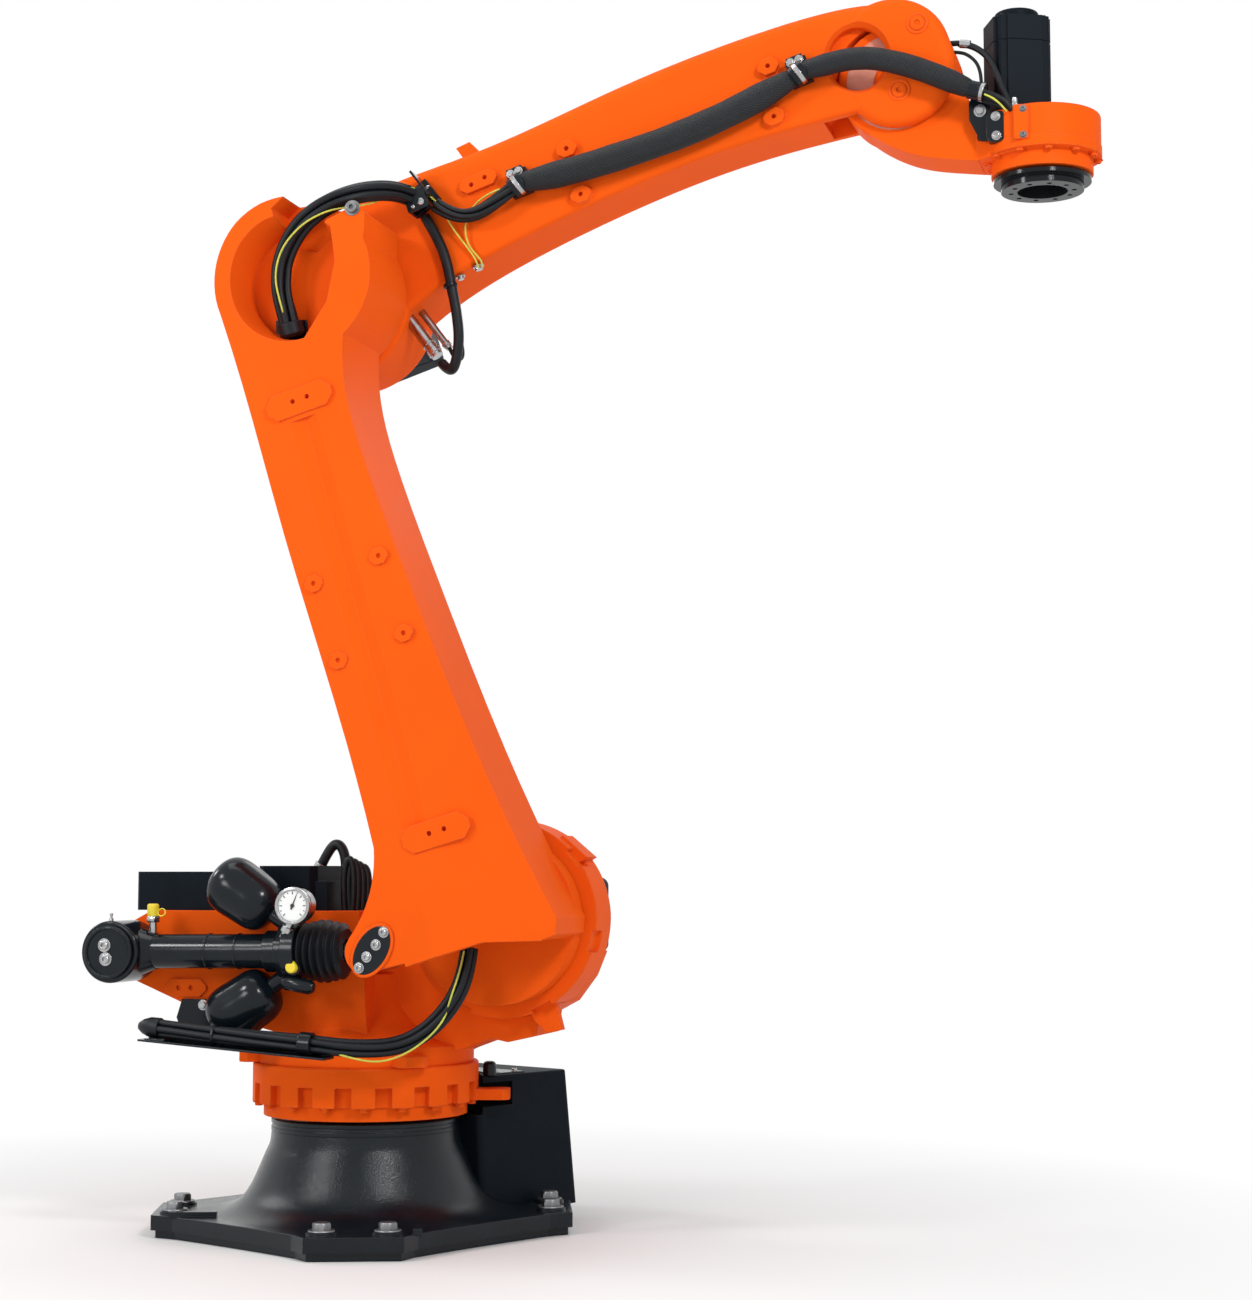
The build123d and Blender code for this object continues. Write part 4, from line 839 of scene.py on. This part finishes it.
fasteners("tab_screws", socket_screw, WRIST, "wrist", on_near(TAB_FACE, TAB_SCREWS, TAB_SCREW_R))
fasteners("bracket_bolt", hex_screw, WRIST, "wrist", on_near(HUB_HALF + 26, ((172, -84),), 9))
hose("thin_motor_lead", THIN_LEAD_ROUTE, WRIST, single(0.0035, 10), rubber,
     across=("arm", "wrist", THIN_LEAD_ROUTE[1], THIN_LEAD_ROUTE[-1]))
hose("lead_stub", LEAD_STUB, WRIST, single(0.00575), rubber, "arm")
hose("lead_end", LEAD_END, WRIST, single(0.00625), rubber, "wrist")
bands("lead_ferrule", WRIST, "arm", steel, [((141, -52, 64), (1, 0, -0.15), 6.5, 8.6, 22)])
motor_at = WRIST @ Matrix.Translation((WRIST_REACH - MOTOR_6_BACK, 0, 0)) @ Matrix.Rotation(
    math.radians(MOTOR_6_TURN), 4, "Z")
motor_screws = [(Vector((x, y, MOTOR_6_TOP)), UP, MOTOR_SCREW_R)
                for x in MOTOR_SCREW_SIDES for y in MOTOR_SCREW_SIDES]
fasteners("motor_screws", socket_screw, motor_at, "wrist", motor_screws, dark_steel)
wrist_bolts = under_circle(HEAD_BOLTS, HEAD_BOLT_START, HEAD_BOLT_CIRCLE, WRIST_REACH, HEAD_6_SEAM, HEAD_BOLT_R)
fasteners("wrist_bolts", socket_screw, WRIST, "wrist", wrist_bolts, orange)

# Stage: a pale floor that fades to white, a white world, lamps and camera
FLOOR_R, FLOOR_SIDES, FLOOR_DROP = 14, 96, 0.0005
FLOOR_COLOUR, FADE_STARTS, FADE_ENDS = (0.86, 0.86, 0.86, 1), 0.7, 2.2
WHITE, WORLD_LIGHT = (1, 1, 1, 1), 0.42

floor_mesh = bpy.data.meshes.new("floor")
shape = bmesh.new()
bmesh.ops.create_circle(shape, cap_ends=True, radius=FLOOR_R, segments=FLOOR_SIDES)
shape.to_mesh(floor_mesh)
shape.free()
pale = bpy.data.materials.new("pale_floor")
pale.use_nodes = True
tree = pale.node_tree
shader = tree.nodes["Principled BSDF"]
shader.inputs["Base Color"].default_value = FLOOR_COLOUR
shader.inputs["Roughness"].default_value = 0.7
shader.inputs["Specular IOR Level"].default_value = 0.2
place = tree.nodes.new("ShaderNodeTexCoord").outputs["Object"]
far = tree.nodes.new("ShaderNodeVectorMath")
far.operation = "LENGTH"
tree.links.new(place, far.inputs[0])
fade = node(tree, "ShaderNodeMapRange", From_Min=FADE_STARTS, From_Max=FADE_ENDS, To_Min=0.0, To_Max=1.0)
tree.links.new(far.outputs["Value"], fade.inputs["Value"])
glow = node(tree, "ShaderNodeEmission", Color=WHITE, Strength=1.0)
both = tree.nodes.new("ShaderNodeMixShader")
tree.links.new(fade.outputs["Result"], both.inputs["Fac"])
tree.links.new(shader.outputs["BSDF"], both.inputs[1])
tree.links.new(glow.outputs["Emission"], both.inputs[2])
tree.links.new(both.outputs["Shader"], tree.nodes["Material Output"].inputs["Surface"])
floor = add_object("floor", floor_mesh, pale)
floor.location.z = cad_box[0].z - FLOOR_DROP

# The world is white to the camera and in reflections, and dimmer as a light
scene = bpy.context.scene
scene.view_settings.view_transform = "Standard"
sky = bpy.data.worlds.new("studio")
sky.use_nodes = True
scene.world = sky
tree = sky.node_tree
back = tree.nodes["Background"]
rays = tree.nodes.new("ShaderNodeLightPath")
seen = rays.outputs["Is Camera Ray"]
for ray in ("Is Glossy Ray", "Is Transmission Ray"):
    either = tree.nodes.new("ShaderNodeMath")
    either.operation = "MAXIMUM"
    tree.links.new(seen, either.inputs[0])
    tree.links.new(rays.outputs[ray], either.inputs[1])
    seen = either.outputs["Value"]
level = node(tree, "ShaderNodeMapRange", To_Min=WORLD_LIGHT, To_Max=1.0)
tree.links.new(seen, level.inputs["Value"])
tree.links.new(level.outputs["Result"], back.inputs["Strength"])
back.inputs["Color"].default_value = WHITE

# Lamps stand by metres towards the camera, to its right and up
TOWARDS_CAMERA, CAMERA_RIGHT = Vector((0.7442, 0.6680, 0)), Vector((-0.6680, 0.7442, 0))
LAMP_TARGET = Vector((-0.1, 0.25, 1.2))


def lamp(name, forward, right, height, side, power):
    """A square lamp that looks at the arm; its side in metres and its power in watts."""
    data = bpy.data.lights.new(name, "AREA")
    data.shape = "RECTANGLE"
    data.size = data.size_y = side
    data.energy = power
    made = bpy.data.objects.new(name, data)
    scene.collection.objects.link(made)
    made.location = TOWARDS_CAMERA * forward + CAMERA_RIGHT * right + UP * height
    made.rotation_euler = (LAMP_TARGET - made.location).to_track_quat("-Z", "Y").to_euler()


lamp("key_left", 2.64, -3.26, 3.4, 0.7, 58)
lamp("key_right", 3.6, 2.16, 3.4, 0.7, 80)
lamp("side_left", -1.4, -3.95, 3.2, 0.9, 44)
lamp("glow", 2.8, -2.1, 1.55, 0.7, 19)
lamp("top", 0.2, -0.3, 5.2, 2.4, 45)
lamp("rim_back", -3.2, 1.5, 3.6, 2.0, 25)

# Camera that was fitted to the photograph, in metres in the shared frame
CAMERA_AT = Vector((3.4974, 3.8673, 0.7421))
CAMERA_ALONG = Vector((-0.7412, -0.6653, 0.0894))
FOCAL_PX, IMAGE_WIDTH_PX, SENSOR_MM = 2457.63, 1252, 36.0

lens = bpy.data.cameras.new("camera")
lens.sensor_fit = "HORIZONTAL"
lens.sensor_width = SENSOR_MM
lens.lens = FOCAL_PX / IMAGE_WIDTH_PX * SENSOR_MM
camera = bpy.data.objects.new("camera", lens)
scene.collection.objects.link(camera)
camera.location = CAMERA_AT
camera.rotation_euler = CAMERA_ALONG.to_track_quat("-Z", "Y").to_euler()
scene.camera = camera
